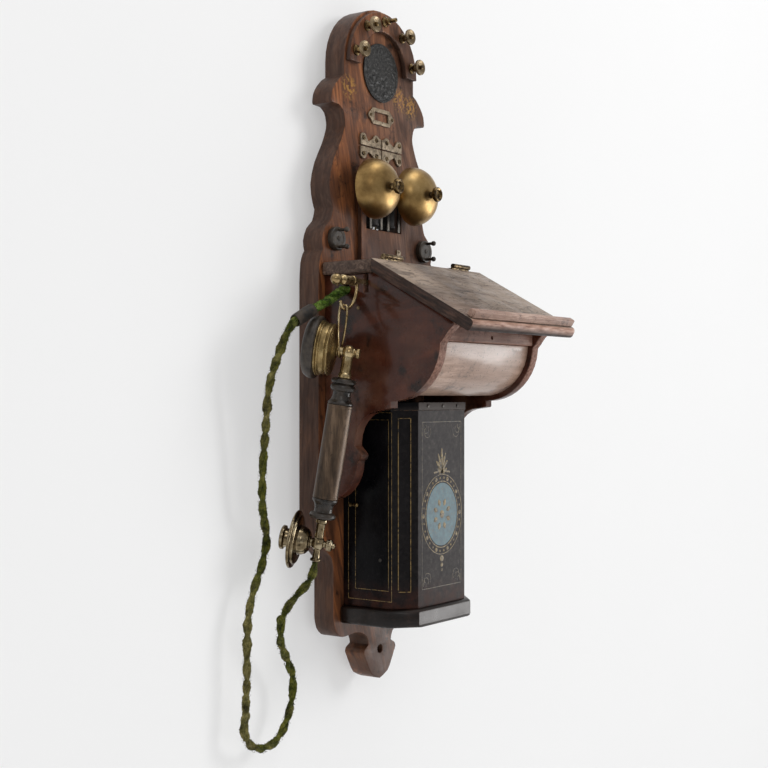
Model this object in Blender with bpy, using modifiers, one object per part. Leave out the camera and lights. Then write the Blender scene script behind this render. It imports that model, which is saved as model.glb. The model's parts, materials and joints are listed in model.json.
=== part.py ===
"""Antique wall telephone with a magneto crank, as an assembly of separate pieces.

Lengths in this file are millimetres; MM turns them into Blender's metres.
X is to the right seen from the front, +Y goes into the wall, +Z is up.
The origin is on the wall plane (the backboard's back face), on the centre
line, halfway up the backboard.
"""

import math

import bmesh
import bpy
from mathutils import Matrix, Vector

MM = 0.001
GAP = 0.3                      # left between pieces that touch

# Backboard
BOARD_THICK = 25.0
BOARD_FRONT = -BOARD_THICK
ON_BOARD = BOARD_FRONT - GAP   # back face of whatever lies on the board
TONGUE_HOLE = (0.0, -319.0, 4.5)
COIL_WINDOW = (31.0, 106.0, 169.0)          # half width, bottom, top

# Horseshoe moulding and its binding posts
ARCH_CENTRE_Z = 287.0
ARCH_OUTER_R = 60.0
ARCH_INNER_R = 40.0
ARCH_FRONT = -31.0
POST_RING_R = 51.0
POST_ANGLES = {"far_left": 77.0, "left": 38.0, "middle": 0.0, "right": -38.0, "far_right": -77.0}

# Bells
BELL_X = 35.5
BELL_Z = 158.0
BELL_R = 31.0
BELL_RIM_Y = -42.0
BELL_DEPTH = 24.0
BELL_WALL = 1.8
HAMMER_PIVOT = (0.0, -16.0, 114.0)

# Desk
DESK_HALF_WIDTH = 94.0
PANEL_THICK = 12.0
INSIDE_HALF_WIDTH = DESK_HALF_WIDTH - PANEL_THICK - GAP
CAP_HALF_WIDTH = 99.5
CAP_LOW_Z = 66.0
CAP_TOP_Z = 79.0
RIDGE_Y = -85.3
LID_HALF_WIDTH = 100.0
LID_SLOPE = math.radians(28.9)
LID_LENGTH = 134.0
LID_THICK = 11.5
LID_TOP_Z = 80.0
HINGE_Z = 83.3
ROUND_CENTRE = (-105.0, -2.0)               # Y, Z of the quarter round
ROUND_R = 57.0

# Magneto and crank
CRANK_AXIS = (-100.0, 0.0)                  # Y, Z
GEAR_TEETH = 40
PINION_TEETH = 8
GEAR_MODULE = 1.65
ARMATURE_DROP = 14.0
CRANK_ARM_LENGTH = 49.2
CRANK_REST = math.radians(66.0)             # arm angle from +Y towards +Z

# Hook lever
LEVER_Y = -75.6
LEVER_Z = 57.0
LEVER_PIVOT_X = -55.0

# Handset: the two yoke centres, and the way its receiver faces
EAR_YOKE = Vector((-127.0, -79.3, -12.2))
MOUTH_YOKE = Vector((-140.0, -52.5, -194.7))
FACE = Vector((-0.431, 0.894, 0.127))        # the way the receiver and transmitter face
LOOP_NECK = 8.5                             # along FACE from the ear yoke

# Battery cover and base
COVER_HALF_WIDTH = 64.0
COVER_FRONT_HALF = 43.0
COVER_FRONT = -102.5
COVER_CHAMFER_Y = -83.5
COVER_TOP = -60.0
COVER_BOTTOM = -265.0
COVER_WALL = 1.5
BASE_BOTTOM = -283.0

# Cord
CORD_R = 4.0
CORD_ROUTE = [
    (-88, -52, 51), (-101, -52.5, 49), (-115, -54, 43.5), (-134, -56, 35.5), (-153, -56.5, 28),
    (-164, -55, 22.5), (-175, -53, 16.5), (-181.5, -48.5, 5), (-185, -44, -9), (-188, -38, -28),
    (-188, -31, -50), (-186, -27, -75), (-184.5, -23, -102), (-183.5, -20, -130), (-180, -17, -157),
    (-171, -12, -175), (-166, -10, -193), (-173, -11, -214), (-186, -12, -236), (-194, -12, -260),
    (-196.5, -12, -290), (-196.5, -12, -320), (-198.5, -12, -350), (-200, -12, -370), (-189, -12, -385),
    (-169, -12, -390), (-150, -12, -384), (-137, -12, -368), (-130, -12.5, -348), (-131, -13.5, -327),
    (-142, -15, -309), (-154, -18, -292), (-160, -23, -273), (-160, -30, -257), (-154, -38, -244),
    (-147, -45, -233), (-142.8, -48.8, -222), (-141.2, -49.7, -212.5),
]
SLEEVE_FROM = 4                # route points between which the sleeve lies
SLEEVE_TO = 6

WOOD_DARK = ((0.060, 0.026, 0.016), 0.35, 0.0)
WOOD_RED = ((0.105, 0.036, 0.020), 0.25, 0.0)
WOOD_ORANGE = ((0.200, 0.080, 0.034), 0.40, 0.0)
WOOD_WORN = ((0.170, 0.125, 0.095), 0.55, 0.0)
BLACK_METAL = ((0.012, 0.012, 0.014), 0.35, 0.3)
EBONITE = ((0.018, 0.015, 0.013), 0.35, 0.0)
BRASS = ((0.330, 0.240, 0.095), 0.35, 1.0)
NICKEL = ((0.420, 0.370, 0.270), 0.30, 1.0)
IRON = ((0.160, 0.155, 0.150), 0.45, 1.0)
COIL_CLOTH = ((0.020, 0.020, 0.022), 0.80, 0.0)
CORD_CLOTH = ((0.075, 0.100, 0.020), 0.90, 0.0)
ZINC_PAPER = ((0.300, 0.250, 0.160), 0.70, 0.0)


# ---------------------------------------------------------------- scene and materials

def clear_scene():
    for obj in list(bpy.data.objects):
        bpy.data.objects.remove(obj)


def new_collection(name):
    collection = bpy.data.collections.new(name)
    bpy.context.scene.collection.children.link(collection)
    return collection


clear_scene()
PARTS = new_collection("wall_telephone")
CUTTERS = new_collection("cutters")


def paint(obj, look):
    colour, roughness, metallic = look
    material = bpy.data.materials.new(obj.name)
    material.use_nodes = True
    shader = material.node_tree.nodes["Principled BSDF"]
    shader.inputs["Base Color"].default_value = (*colour, 1.0)
    shader.inputs["Roughness"].default_value = roughness
    shader.inputs["Metallic"].default_value = metallic
    obj.data.materials.append(material)
    return obj


def metres(*values):
    return [value * MM for value in values]


# ---------------------------------------------------------------- placing

PLANES = {
    "XZ": Matrix(((1, 0, 0, 0), (0, 0, -1, 0), (0, 1, 0, 0), (0, 0, 0, 1))),
    "YZ": Matrix(((0, 0, 1, 0), (1, 0, 0, 0), (0, 1, 0, 0), (0, 0, 0, 1))),
    "XY": Matrix.Identity(4),
}
UP = (0, 0, 1)
FORWARD = (0, -1, 0)           # out of the wall


def shift(x, y, z):
    return Matrix.Translation(metres(x, y, z))


def aimed(at, toward):
    """The matrix that puts local +Z along `toward`, with the origin at `at`."""
    turn = Vector(toward).to_track_quat("Z", "Y").to_matrix().to_4x4()
    return shift(*at) @ turn


def rest_matrix(obj):
    """World matrix from the parents, without waiting for a scene update."""
    if obj.parent is None:
        return obj.matrix_basis.copy()
    return rest_matrix(obj.parent) @ obj.matrix_parent_inverse @ obj.matrix_basis


def follow(obj, parent):
    """Parents obj and leaves it where it is."""
    obj.parent = parent
    obj.matrix_parent_inverse = rest_matrix(parent).inverted()
    return obj


def pivot(name, matrix, *pieces):
    """An empty on a joint's axis, with the pieces that turn or slide on it."""
    empty = bpy.data.objects.new(name, None)
    empty.empty_display_size = 0.02
    PARTS.objects.link(empty)
    empty.matrix_basis = matrix
    for piece in pieces:
        follow(piece, empty)
    return empty


# ---------------------------------------------------------------- shapes

def add_object(name, data, matrix):
    obj = bpy.data.objects.new(name, data)
    PARTS.objects.link(obj)
    obj.matrix_basis = matrix
    return obj


def plate(name, outlines, low, high, plane="XZ"):
    """Filled outlines in a plane, from low to high along Y (XZ), X (YZ) or Z (XY)."""
    data = bpy.data.curves.new(name, "CURVE")
    data.dimensions = "2D"
    data.fill_mode = "BOTH"
    data.extrude = abs(high - low) / 2 * MM
    for outline in outlines:
        spline = data.splines.new("POLY")
        spline.points.add(len(outline) - 1)
        for point, (x, y) in zip(spline.points, outline):
            point.co = (x * MM, y * MM, 0, 1)
        spline.use_cyclic_u = True
    middle = (low + high) / 2
    along = {"XZ": (0, middle, 0), "YZ": (middle, 0, 0), "XY": (0, 0, middle)}[plane]
    return add_object(name, data, shift(*along) @ PLANES[plane])


def turned(name, profile, at, toward, steps=24, ring=False):
    """A lathe shape. The profile is (radius, height) up its outer side; a ring's closes on itself."""
    mesh = bpy.data.meshes.new(name)
    points = [(r * MM, 0, h * MM) for r, h in reversed(profile)]
    edges = [(i, i + 1) for i in range(len(points) - 1)]
    if ring:
        edges.append((len(points) - 1, 0))
    mesh.from_pydata(points, edges, [])
    obj = add_object(name, mesh, aimed(at, toward))
    screw = obj.modifiers.new("Lathe", "SCREW")
    screw.steps = steps
    screw.render_steps = steps
    screw.use_merge_vertices = True
    screw.merge_threshold = 1e-5
    return obj


def block(name, low, high, bevel=0.0):
    """A box between two corners, with its long edges rounded if a bevel is given."""
    mesh = bpy.data.meshes.new(name)
    shape = bmesh.new()
    bmesh.ops.create_cube(shape, size=1.0)
    for vert in shape.verts:
        for axis in range(3):
            side = low[axis] if vert.co[axis] < 0 else high[axis]
            vert.co[axis] = side * MM
    shape.to_mesh(mesh)
    shape.free()
    obj = add_object(name, mesh, Matrix.Identity(4))
    if bevel:
        rounded = obj.modifiers.new("Rounded", "BEVEL")
        rounded.width = bevel * MM
        rounded.segments = 2
    return obj


def wire(name, points, radius, closed=False, sides=2):
    data = bpy.data.curves.new(name, "CURVE")
    data.dimensions = "3D"
    data.bevel_depth = radius * MM
    data.bevel_resolution = sides
    data.use_fill_caps = not closed
    spline = data.splines.new("POLY")
    spline.points.add(len(points) - 1)
    for point, place in zip(spline.points, points):
        point.co = (*metres(*place), 1)
    spline.use_cyclic_u = closed
    return add_object(name, data, Matrix.Identity(4))


def as_mesh(obj):
    """The curve object made a mesh, so that it can be joined or cut."""
    graph = bpy.context.evaluated_depsgraph_get()
    mesh = bpy.data.meshes.new_from_object(obj.evaluated_get(graph))
    shape = bmesh.new()
    shape.from_mesh(mesh)
    bmesh.ops.remove_doubles(shape, verts=shape.verts, dist=1e-6)
    bmesh.ops.recalc_face_normals(shape, faces=shape.faces)
    shape.to_mesh(mesh)
    shape.free()
    name, matrix = obj.name, obj.matrix_basis.copy()
    bpy.data.objects.remove(obj)
    return add_object(name, mesh, matrix)


def solid(obj):
    return as_mesh(obj) if obj.type == "CURVE" else obj


def combine(target, others, operation):
    target = solid(target)
    for other in others:
        tool = solid(other)
        PARTS.objects.unlink(tool)
        CUTTERS.objects.link(tool)
        tool.hide_render = True
        tool.display_type = "WIRE"
        follow(tool, target)
        boolean = target.modifiers.new(operation.title(), "BOOLEAN")
        boolean.operation = operation
        boolean.solver = "EXACT"
        boolean.object = tool
    return target


def join(target, *others):
    return combine(target, others, "UNION")


def cut(target, *others):
    return combine(target, others, "DIFFERENCE")


# ---------------------------------------------------------------- outlines

def arc(cx, cy, radius, start, end, steps):
    """Points on an arc, angles in degrees, both ends included."""
    points = []
    for i in range(steps + 1):
        angle = math.radians(start + (end - start) * i / steps)
        points.append((cx + radius * math.cos(angle), cy + radius * math.sin(angle)))
    return points


def flow(points, steps=2):
    """A smooth line through the points (Catmull-Rom), in any number of dimensions."""
    padded = [points[0], *points, points[-1]]
    line = []
    for before, a, b, after in zip(padded, padded[1:], padded[2:], padded[3:]):
        for i in range(steps):
            t = i / steps
            line.append(tuple(
                0.5 * (2 * q + (r - p) * t + (2 * p - 5 * q + 4 * r - s) * t * t
                       + (3 * q - p - 3 * r + s) * t ** 3)
                for p, q, r, s in zip(before, a, b, after)))
    return [*line, tuple(points[-1])]


def both_sides(half):
    """A whole outline from its right half, which starts and ends on the centre line."""
    return half + [(-x, z) for x, z in reversed(half) if x > 1e-6]


# ---------------------------------------------------------------- backboard and what is on it

def board_outline():
    half = arc(0, 288, 62, 90, 0, 9)
    half += [(62, 272)]
    half += flow([(68, 268.5), (76, 261), (82, 252), (83.5, 243)])
    half += [(82.5, 241)]
    half += flow([(71, 240.5), (64, 236), (61, 228), (61, 220), (68, 203.5), (80, 183), (86.5, 160),
                  (83, 142), (80, 135.5)])
    half += flow([(80.5, 132.5), (84, 123), (93, 115), (98.3, 102), (96.5, 92)])
    half += flow([(99, 88.5), (102.5, 79), (104, 60)])
    half += flow([(104, -178), (102, -192), (94, -206), (83, -216), (80, -228)])
    half += flow([(80, -278), (77, -289), (69, -296.5), (60, -298), (45, -296.5), (33, -298),
                  (23, -303.5), (20, -312)])
    half += flow([(27, -316), (28.5, -320), (26, -325), (21, -334), (14, -344), (0, -350)])
    return both_sides(half)


def make_backboard():
    half, low, high = COIL_WINDOW
    window = [(-half, low), (half, low), (half, high), (-half, high)]
    hole_x, hole_z, hole_r = TONGUE_HOLE
    hole = arc(hole_x, hole_z, hole_r, 0, 330, 11)
    board = plate("backboard", [board_outline(), window, hole], -BOARD_THICK, 0)
    paint(board, WOOD_ORANGE)


def make_terminal_arch():
    outer = arc(0, ARCH_CENTRE_Z, ARCH_OUTER_R, 0, 180, 20)
    inner = arc(0, ARCH_CENTRE_Z, ARCH_INNER_R, 180, 0, 16)
    arch = plate("terminal_arch", [outer + inner], ARCH_FRONT, ON_BOARD)
    paint(arch, WOOD_ORANGE)


def make_medallion():
    disc = turned("medallion_disc", [(0, 0), (30.5, 0), (30.5, 1.0), (29.5, 1.5), (0, 1.9)],
                  (0, ON_BOARD, 285), FORWARD, 32)
    paint(disc, BLACK_METAL)


def make_binding_post(place, angle):
    """A brass post on the arch and, on all but the middle one, the knurled nut that turns on it."""
    x = -POST_RING_R * math.sin(math.radians(angle))
    z = ARCH_CENTRE_Z + POST_RING_R * math.cos(math.radians(angle))
    seat = (x, ARCH_FRONT - GAP, z)
    has_nut = place != "middle"
    tip = 13.6 if has_nut else 14.7
    post = turned("terminal_post_" + place,
                  [(0, 0), (5.6, 0), (5.6, 1.2), (3.6, 2.4), (3.6, 6.2), (2.1, 6.8), (2.1, tip),
                   (0, tip + 0.8)],
                  seat, FORWARD, 12)
    paint(post, BRASS)
    if not has_nut:
        return
    nut = turned("terminal_nut_" + place,
                 [(4.4, 7.6), (7.6, 9.0), (8.2, 9.8), (8.2, 11.6), (7.4, 12.6), (5.2, 11.4),
                  (2.35, 11.0), (2.35, 7.6)],
                 seat, FORWARD, 14, ring=True)
    paint(nut, BRASS)
    pivot("axis_" + place, aimed(seat, FORWARD), nut)


def make_name_card_frame():
    ear = arc(19, 238.5, 3.4, -75, 75, 5)
    outer = [(14.5, 230), *ear, (14.5, 247)]
    outline = outer + [(-x, z) for x, z in reversed(outer)]
    window = [(-12.5, 234), (12.5, 234), (12.5, 243), (-12.5, 243)]
    frame = plate("name_card_frame", [outline, window], ON_BOARD - 1.8, ON_BOARD)
    paint(frame, NICKEL)


def make_arrester():
    """Four nickel plates with lobes round their screws, a spark gap apart."""
    gap_z = 204.5
    lobes = arc(31.8, 8.2, 5.2, -25, 165, 6) + [(23, 5.4)] + arc(9.2, 8.2, 5.4, 15, 150, 5)
    corner = [(0.9, 0.7), (36.5, 0.7)]
    quarter = corner + lobes + [(0.9, 10.5)]
    for row, up in (("upper", 1), ("lower", -1)):
        for side, right in (("left", -1), ("right", 1)):
            outline = [(right * x, gap_z + up * z) for x, z in quarter]
            arrester = plate(f"arrester_plate_{row}_{side}", [outline], ON_BOARD - 2.0, ON_BOARD)
            paint(arrester, NICKEL)


def make_plug_socket(side, x):
    """A round ebonite block with two contact pins."""
    z = 104
    base = turned("plug_socket_" + side, [(0, 0), (12, 0), (12, 4.6), (11, 5.8), (0, 6.4)],
                  (x, ON_BOARD, z), FORWARD, 20)
    pins = []
    for number, offset in enumerate((-8.5, 8.5)):
        pin = turned(f"socket_pin_{side}_{number}",
                     [(0, 3), (1.6, 3), (1.6, 13), (2.6, 14.2), (2.7, 15.8), (1.6, 17.4), (0, 17.8)],
                     (x, ON_BOARD, z + offset), FORWARD, 10)
        pins.append(pin)
    paint(join(base, *pins), EBONITE)


# ---------------------------------------------------------------- ringer

def make_ringer_surround():
    frame = [(-40, 79.3), (40, 79.3), (40, 177), (-40, 177)]
    window = [(-31.3, 119), (31.3, 119), (31.3, 169.5), (-31.3, 169.5)]
    surround = plate("ringer_surround", [frame, window], -30.3, ON_BOARD)
    paint(surround, WOOD_ORANGE)


def make_ringer_magnet():
    """Two coils on iron cores, joined at the top by a yoke that a bracket ties to the board's back."""
    yoke = block("ringer_magnet", (-26, -34, 160), (26, -3, 164))
    coils = []
    for side, x in (("left", -14.5), ("right", 14.5)):
        coil = turned("coil_" + side,
                      [(0, 0), (3.5, 0), (3.5, 3), (10, 3), (10, 5), (9, 5), (9, 37), (10, 37),
                       (10, 40.5), (0, 40.5)],
                      (x, -22, 120.5), UP, 12)
        coils.append(coil)
    paint(join(yoke, *coils), COIL_CLOTH)


def make_hammer():
    """Armature bar that rocks under the coils, with the rod and ball that strike the bells."""
    x, y, z = HAMMER_PIVOT
    bar = block("ringer_hammer", (-22, -23, z - 2), (22, -9, z + 2))
    rod = wire("hammer_rod", flow([(0, -18, z), (0, -20, 128), (0, -24, 136), (0, -37, 146), (0, -45, 152),
                                   (0, -46, 158)]), 0.9)
    ball = turned("hammer_ball", [(0, -3.0), (1.8, -2.4), (2.8, -1.0), (2.8, 1.0), (1.8, 2.4), (0, 3.0)],
                  (0, -46, BELL_Z), UP, 10)
    hammer = paint(join(bar, rod, ball), BRASS)
    pivot("hammer_axis", aimed((x, y, z), FORWARD), hammer)


def bell_profile():
    """Rim outside up to the crown, then back down the inside."""
    def dome(radius, depth, steps):
        line = []
        for i in range(steps + 1):
            angle = math.radians(84) * i / steps
            line.append((radius * math.cos(angle) ** 0.75, depth * math.sin(angle)))
        return line
    hole = 2.3
    outer = dome(BELL_R, BELL_DEPTH, 7) + [(hole, BELL_DEPTH)]
    inner = dome(BELL_R - BELL_WALL, BELL_DEPTH - BELL_WALL, 4) + [(hole, BELL_DEPTH - BELL_WALL)]
    return outer + inner[::-1]


def make_bell(side, x):
    gong = turned("bell_gong_" + side, bell_profile(), (x, BELL_RIM_Y, BELL_Z), FORWARD, 24, ring=True)
    paint(gong, BRASS)
    crown = BELL_DEPTH - BELL_RIM_Y - 30.6
    post = turned("bell_post_" + side,
                  [(0, 0), (3.6, 0), (3.6, 2), (2.8, 3), (2.8, 27), (4.6, 29), (4.6, crown - BELL_WALL - GAP),
                   (1.9, crown - BELL_WALL - GAP), (1.9, crown + GAP), (3.8, crown + GAP), (3.0, crown + 2.5),
                   (3.2, crown + 4.5), (7.0, crown + 5.2), (7.7, crown + 6.2), (7.7, crown + 8.8),
                   (6.6, crown + 10), (4.4, crown + 9.2), (0, crown + 8.6)],
                  (x, -30.6, BELL_Z), FORWARD, 12)
    paint(post, BRASS)


# ---------------------------------------------------------------- desk

def lid_line(y, below=0.0):
    """Height of the lid's upper face at y, or of a face that far below it, square to the slope."""
    return LID_TOP_Z + (y - RIDGE_Y + GAP) * math.tan(LID_SLOPE) - below / math.cos(LID_SLOPE)


def make_desk_cap():
    cap = block("desk_cap", (-CAP_HALF_WIDTH, RIDGE_Y, CAP_LOW_Z), (CAP_HALF_WIDTH, ON_BOARD, CAP_TOP_Z), 2.0)
    paint(cap, WOOD_DARK)


def panel_outline():
    """Side panel in Y and Z: under the cap and lid, round the front, and down the bracket foot."""
    cy, cz = ROUND_CENTRE
    top_front = -177.0
    outline = [(ON_BOARD, CAP_LOW_Z - 0.4), (RIDGE_Y, CAP_LOW_Z - 0.4)]
    outline += [(top_front, lid_line(top_front, LID_THICK + 0.8))]
    outline += flow([(top_front, 12.3), (-170, 6), (-165.5, -0.3)], 2)
    outline += [(-162, -4)]
    outline += arc(cy, cz, ROUND_R, 184, 270, 10)
    outline += [(cy, -65.5)]
    outline += arc(-95, -100, 32.8, 90, 3, 7)
    outline += flow([(-62, -102.7), (-68.5, -109.3), (-70, -112.5), (-68.5, -116)], 2)
    outline += [(-65.7, -117.6)]
    outline += arc(-25.3, -118, 40, 190, 270, 7)
    return outline


def make_side_panels():
    """The left panel has the lever's notch and the cord's hole, the right one the crank's hole."""
    inner = DESK_HALF_WIDTH - PANEL_THICK
    cord_hole = arc(-52, 51, 5, 0, 330, 11)
    left = plate("side_panel_left", [panel_outline(), cord_hole], -DESK_HALF_WIDTH, -inner, "YZ")
    notch = block("lever_notch", (-100, LEVER_Y - 3, 47), (-75, LEVER_Y + 3, 70))
    paint(cut(left, notch), WOOD_RED)
    shaft_hole = arc(*CRANK_AXIS, 4.6, 0, 330, 11)
    right = plate("side_panel_right", [panel_outline(), shaft_hole], inner, DESK_HALF_WIDTH, "YZ")
    paint(right, WOOD_RED)


def make_desk_front():
    """The curved front, the lock rail above it and the floor behind it."""
    cy, cz = ROUND_CENTRE
    outer_r = ROUND_R - 5.5
    inner_r = outer_r - 6
    outline = arc(cy, cz, outer_r, 180, 270, 12) + arc(cy, cz, inner_r, 270, 180, 12)
    front = plate("curved_front", [outline], -INSIDE_HALF_WIDTH, INSIDE_HALF_WIDTH, "YZ")
    paint(front, WOOD_RED)
    rail = block("lock_rail", (-INSIDE_HALF_WIDTH, -162, cz + GAP), (INSIDE_HALF_WIDTH, -150, 13), 1.0)
    keyhole = turned("keyhole", [(0, 0), (2.2, 0), (2.2, 20), (0, 20)], (0, -148, 4), FORWARD, 10)
    paint(cut(rail, keyhole), WOOD_RED)
    floor = block("desk_floor", (-INSIDE_HALF_WIDTH, cy + GAP, cz - outer_r),
                  (INSIDE_HALF_WIDTH, ON_BOARD, cz - inner_r))
    paint(floor, WOOD_DARK)


def make_lid():
    """The writing lid with its paper rail, turning about the hinge pins at the ridge."""
    back = RIDGE_Y - GAP
    slope, rise = math.cos(LID_SLOPE), math.sin(LID_SLOPE)
    nose = (back - LID_LENGTH * slope, LID_TOP_Z - LID_LENGTH * rise)
    toe = (nose[0] + LID_THICK * rise, nose[1] - LID_THICK * slope)
    radius = 4.0
    up = math.degrees(LID_SLOPE) + 90
    upper = (nose[0] + radius * (slope + rise), nose[1] - radius * (slope - rise))
    lower = (toe[0] + radius * (slope - rise), toe[1] + radius * (slope + rise))
    outline = [(back, LID_TOP_Z), *arc(*upper, radius, up, up + 90, 4),
               *arc(*lower, radius, up + 90, up + 180, 4)]
    outline += [(back, lid_line(back, LID_THICK))]
    lid = plate("desk_lid", [outline], -LID_HALF_WIDTH, LID_HALF_WIDTH, "YZ")
    paint(lid, WOOD_WORN)
    # The rail's foot is square to the slope, 4 mm up from the nose.
    foot = Vector((nose[0] + 4 * slope - GAP * rise, nose[1] + 4 * rise + GAP * slope))
    along = Vector((slope, rise))
    out = Vector((-rise, slope))
    corners = [foot, foot + 8 * along, foot + 8 * along + 6 * out, foot + 6 * along + 8 * out,
               foot - 0.5 * along + 7.5 * out]
    rail = plate("paper_rail", [[tuple(corner) for corner in corners]], -97, 97, "YZ")
    paint(rail, WOOD_DARK)
    return lid, rail


def make_hinges():
    """A barrel on each side of the ridge, with its leaf let into the cap."""
    for side, right in (("left", -1), ("right", 1)):
        low, high = sorted((right * 47, right * 79))
        barrel = turned("lid_hinge_" + side, [(0, 0), (2.4, 0), (2.4, 32), (0, 32)],
                        (low, RIDGE_Y, HINGE_Z), (1, 0, 0), 12)
        leaf = block("leaf_" + side, (low, RIDGE_Y, CAP_TOP_Z + GAP), (high, RIDGE_Y + 12, CAP_TOP_Z + 2.2))
        web = block("web_" + side, (low, RIDGE_Y + 0.2, CAP_TOP_Z + 1), (high, RIDGE_Y + 2.2, HINGE_Z + 1))
        paint(join(barrel, leaf, web), BRASS)


# ---------------------------------------------------------------- magneto and crank

def gear_outline(teeth, phase):
    """Straight-sided teeth, slimmer than half a pitch so that the pair runs free. The phase is in teeth."""
    pitch_r = teeth * GEAR_MODULE / 2
    root, tip = pitch_r - 1.15 * GEAR_MODULE, pitch_r + 0.75 * GEAR_MODULE
    step = 2 * math.pi / teeth
    outline = []
    for tooth in range(teeth):
        centre = (tooth + phase) * step
        for radius, offset in ((root, -0.26), (tip, -0.12), (tip, 0.12), (root, 0.26)):
            angle = centre + offset * step
            outline.append((radius * math.cos(angle), radius * math.sin(angle)))
    return outline


def armature_axis():
    """Y and Z of the armature's axis: one centre distance from the crank's, a little lower."""
    centres = (GEAR_TEETH + PINION_TEETH) * GEAR_MODULE / 2
    return CRANK_AXIS[0] + math.sqrt(centres ** 2 - ARMATURE_DROP ** 2), CRANK_AXIS[1] - ARMATURE_DROP


def mesh_angle():
    """Direction from the crank's axis to the armature's, in the YZ plane."""
    y, z = armature_axis()
    return math.atan2(z - CRANK_AXIS[1], y - CRANK_AXIS[0])


def toothed_wheel(name, teeth, axis, phase, low, high):
    outline = [(axis[0] + y, axis[1] + z) for y, z in gear_outline(teeth, phase)]
    return plate(name, [outline], low, high, "YZ")


def make_magneto():
    """Frame, three horseshoe magnets on one clamp, and the armature between their legs."""
    ay, az = armature_axis()
    cy, cz = CRANK_AXIS
    floor_z = ROUND_CENTRE[1] - ROUND_R + 5.5 + 6 + GAP
    foot = block("magneto_frame", (-53, ay - 27, floor_z), (53, ay + 27, floor_z + 4))
    cheeks = []
    for side, right in (("left", -1), ("right", 1)):
        low, high = sorted((right * 50, right * 53))
        outline = [(ay - 20, floor_z + 2), (ay + 20, floor_z + 2), (ay + 12, az + 9), (ay - 6, az + 12)]
        outline += [(cy + 2, cz + 9), (cy - 8, cz + 5), (cy - 8, cz - 6), (ay - 24, floor_z + 10)]
        holes = [arc(ay, az, 3.4, 0, 330, 11), arc(cy, cz, 4.5, 0, 330, 11)]
        cheeks.append(plate("cheek_" + side, [outline, *holes], low, high, "YZ"))
    paint(join(foot, *cheeks), BRASS)

    legs_z = floor_z + 4 + GAP
    crown_z = 12
    clamp = block("magneto_magnets", (-45, ay - 3, crown_z + 24), (45, ay + 3, crown_z + 28))
    shoes = []
    for number in range(3):
        low = -45 + 31 * number
        outline = [(ay + 24, legs_z)] + arc(ay, crown_z, 24, 0, 180, 10)
        outline += [(ay - 24, legs_z), (ay - 14, legs_z)]
        outline += arc(ay, crown_z, 14, 180, 0, 8) + [(ay + 14, legs_z)]
        # The clamp bar bites 1 mm into each crown.
        outline = [(y, z + (1.0 if z > crown_z else 0.0)) for y, z in outline]
        shoes.append(plate(f"horseshoe_{number}", [outline], low, low + 28, "YZ"))
    paint(join(clamp, *shoes), IRON)

    core = turned("magneto_armature",
                  [(0, -58), (3, -58), (3, -46), (11.5, -46), (11.5, -34), (9.5, -33), (9.5, 33), (11.5, 34),
                   (11.5, 46), (3, 46), (3, 67), (0, 67)], (0, ay, az), (1, 0, 0), 16)
    pinion_phase = (math.pi + mesh_angle()) / (2 * math.pi) * PINION_TEETH
    pinion = toothed_wheel("pinion", PINION_TEETH, (ay, az), pinion_phase, 59, 66)
    armature = paint(join(core, pinion), IRON)
    pivot("armature_axis", aimed((0, ay, az), (1, 0, 0)), armature)


def make_crank():
    """Shaft and drive gear inside, arm outside the right panel, and a handle that turns on its pin."""
    cy, cz = CRANK_AXIS
    shaft = turned("crank_shaft", [(0, 46), (4, 46), (4, 100.6), (0, 100.6)], (0, cy, cz), (1, 0, 0), 14)
    gear_phase = mesh_angle() / (2 * math.pi) * GEAR_TEETH + 0.5
    gear = toothed_wheel("drive_gear", GEAR_TEETH, (cy, cz), gear_phase, 60, 65)
    shaft = paint(join(shaft, gear), BRASS)

    end_y = cy + CRANK_ARM_LENGTH * math.cos(CRANK_REST)
    end_z = cz + CRANK_ARM_LENGTH * math.sin(CRANK_REST)
    turn = math.degrees(CRANK_REST)
    outline = arc(cy, cz, 8.5, turn + 100, turn + 260, 8) + arc(end_y, end_z, 5.5, turn - 80, turn + 80, 6)
    arm = plate("crank_arm", [outline], 101, 106, "YZ")
    hub = turned("crank_hub", [(0, 100.9), (7.5, 100.9), (7.5, 108), (6, 109.5), (0, 109.5)],
                 (0, cy, cz), (1, 0, 0), 16)
    pin = turned("handle_pin", [(0, 103), (2.5, 103), (2.5, 146), (4.2, 146.4), (3.6, 148.6), (0, 149.4)],
                 (0, end_y, end_z), (1, 0, 0), 12)
    arm = paint(join(arm, hub, pin), NICKEL)
    handle = turned("crank_handle",
                    [(5.5, 107), (7.5, 108), (8, 113), (6.4, 119), (7.2, 127), (9.2, 136), (8.6, 142),
                     (5.5, 145.6), (2.9, 145.6), (2.9, 107)], (0, end_y, end_z), (1, 0, 0), 16, ring=True)
    paint(handle, EBONITE)
    crank = pivot("crank_axis", aimed((0, cy, cz), (1, 0, 0)), shaft, arm)
    spin = pivot("handle_axis", aimed((0, end_y, end_z), (1, 0, 0)), handle)
    follow(spin, crank)


# ---------------------------------------------------------------- hook lever

HOOK_WIRE_R = 1.6
HOOK_LINE = [(-108.5, 57), (-108.8, 49), (-111.5, 41), (-116, 34.5), (-122, 30.3), (-128, 29), (-132.8, 31.5),
             (-135, 37)]


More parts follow.
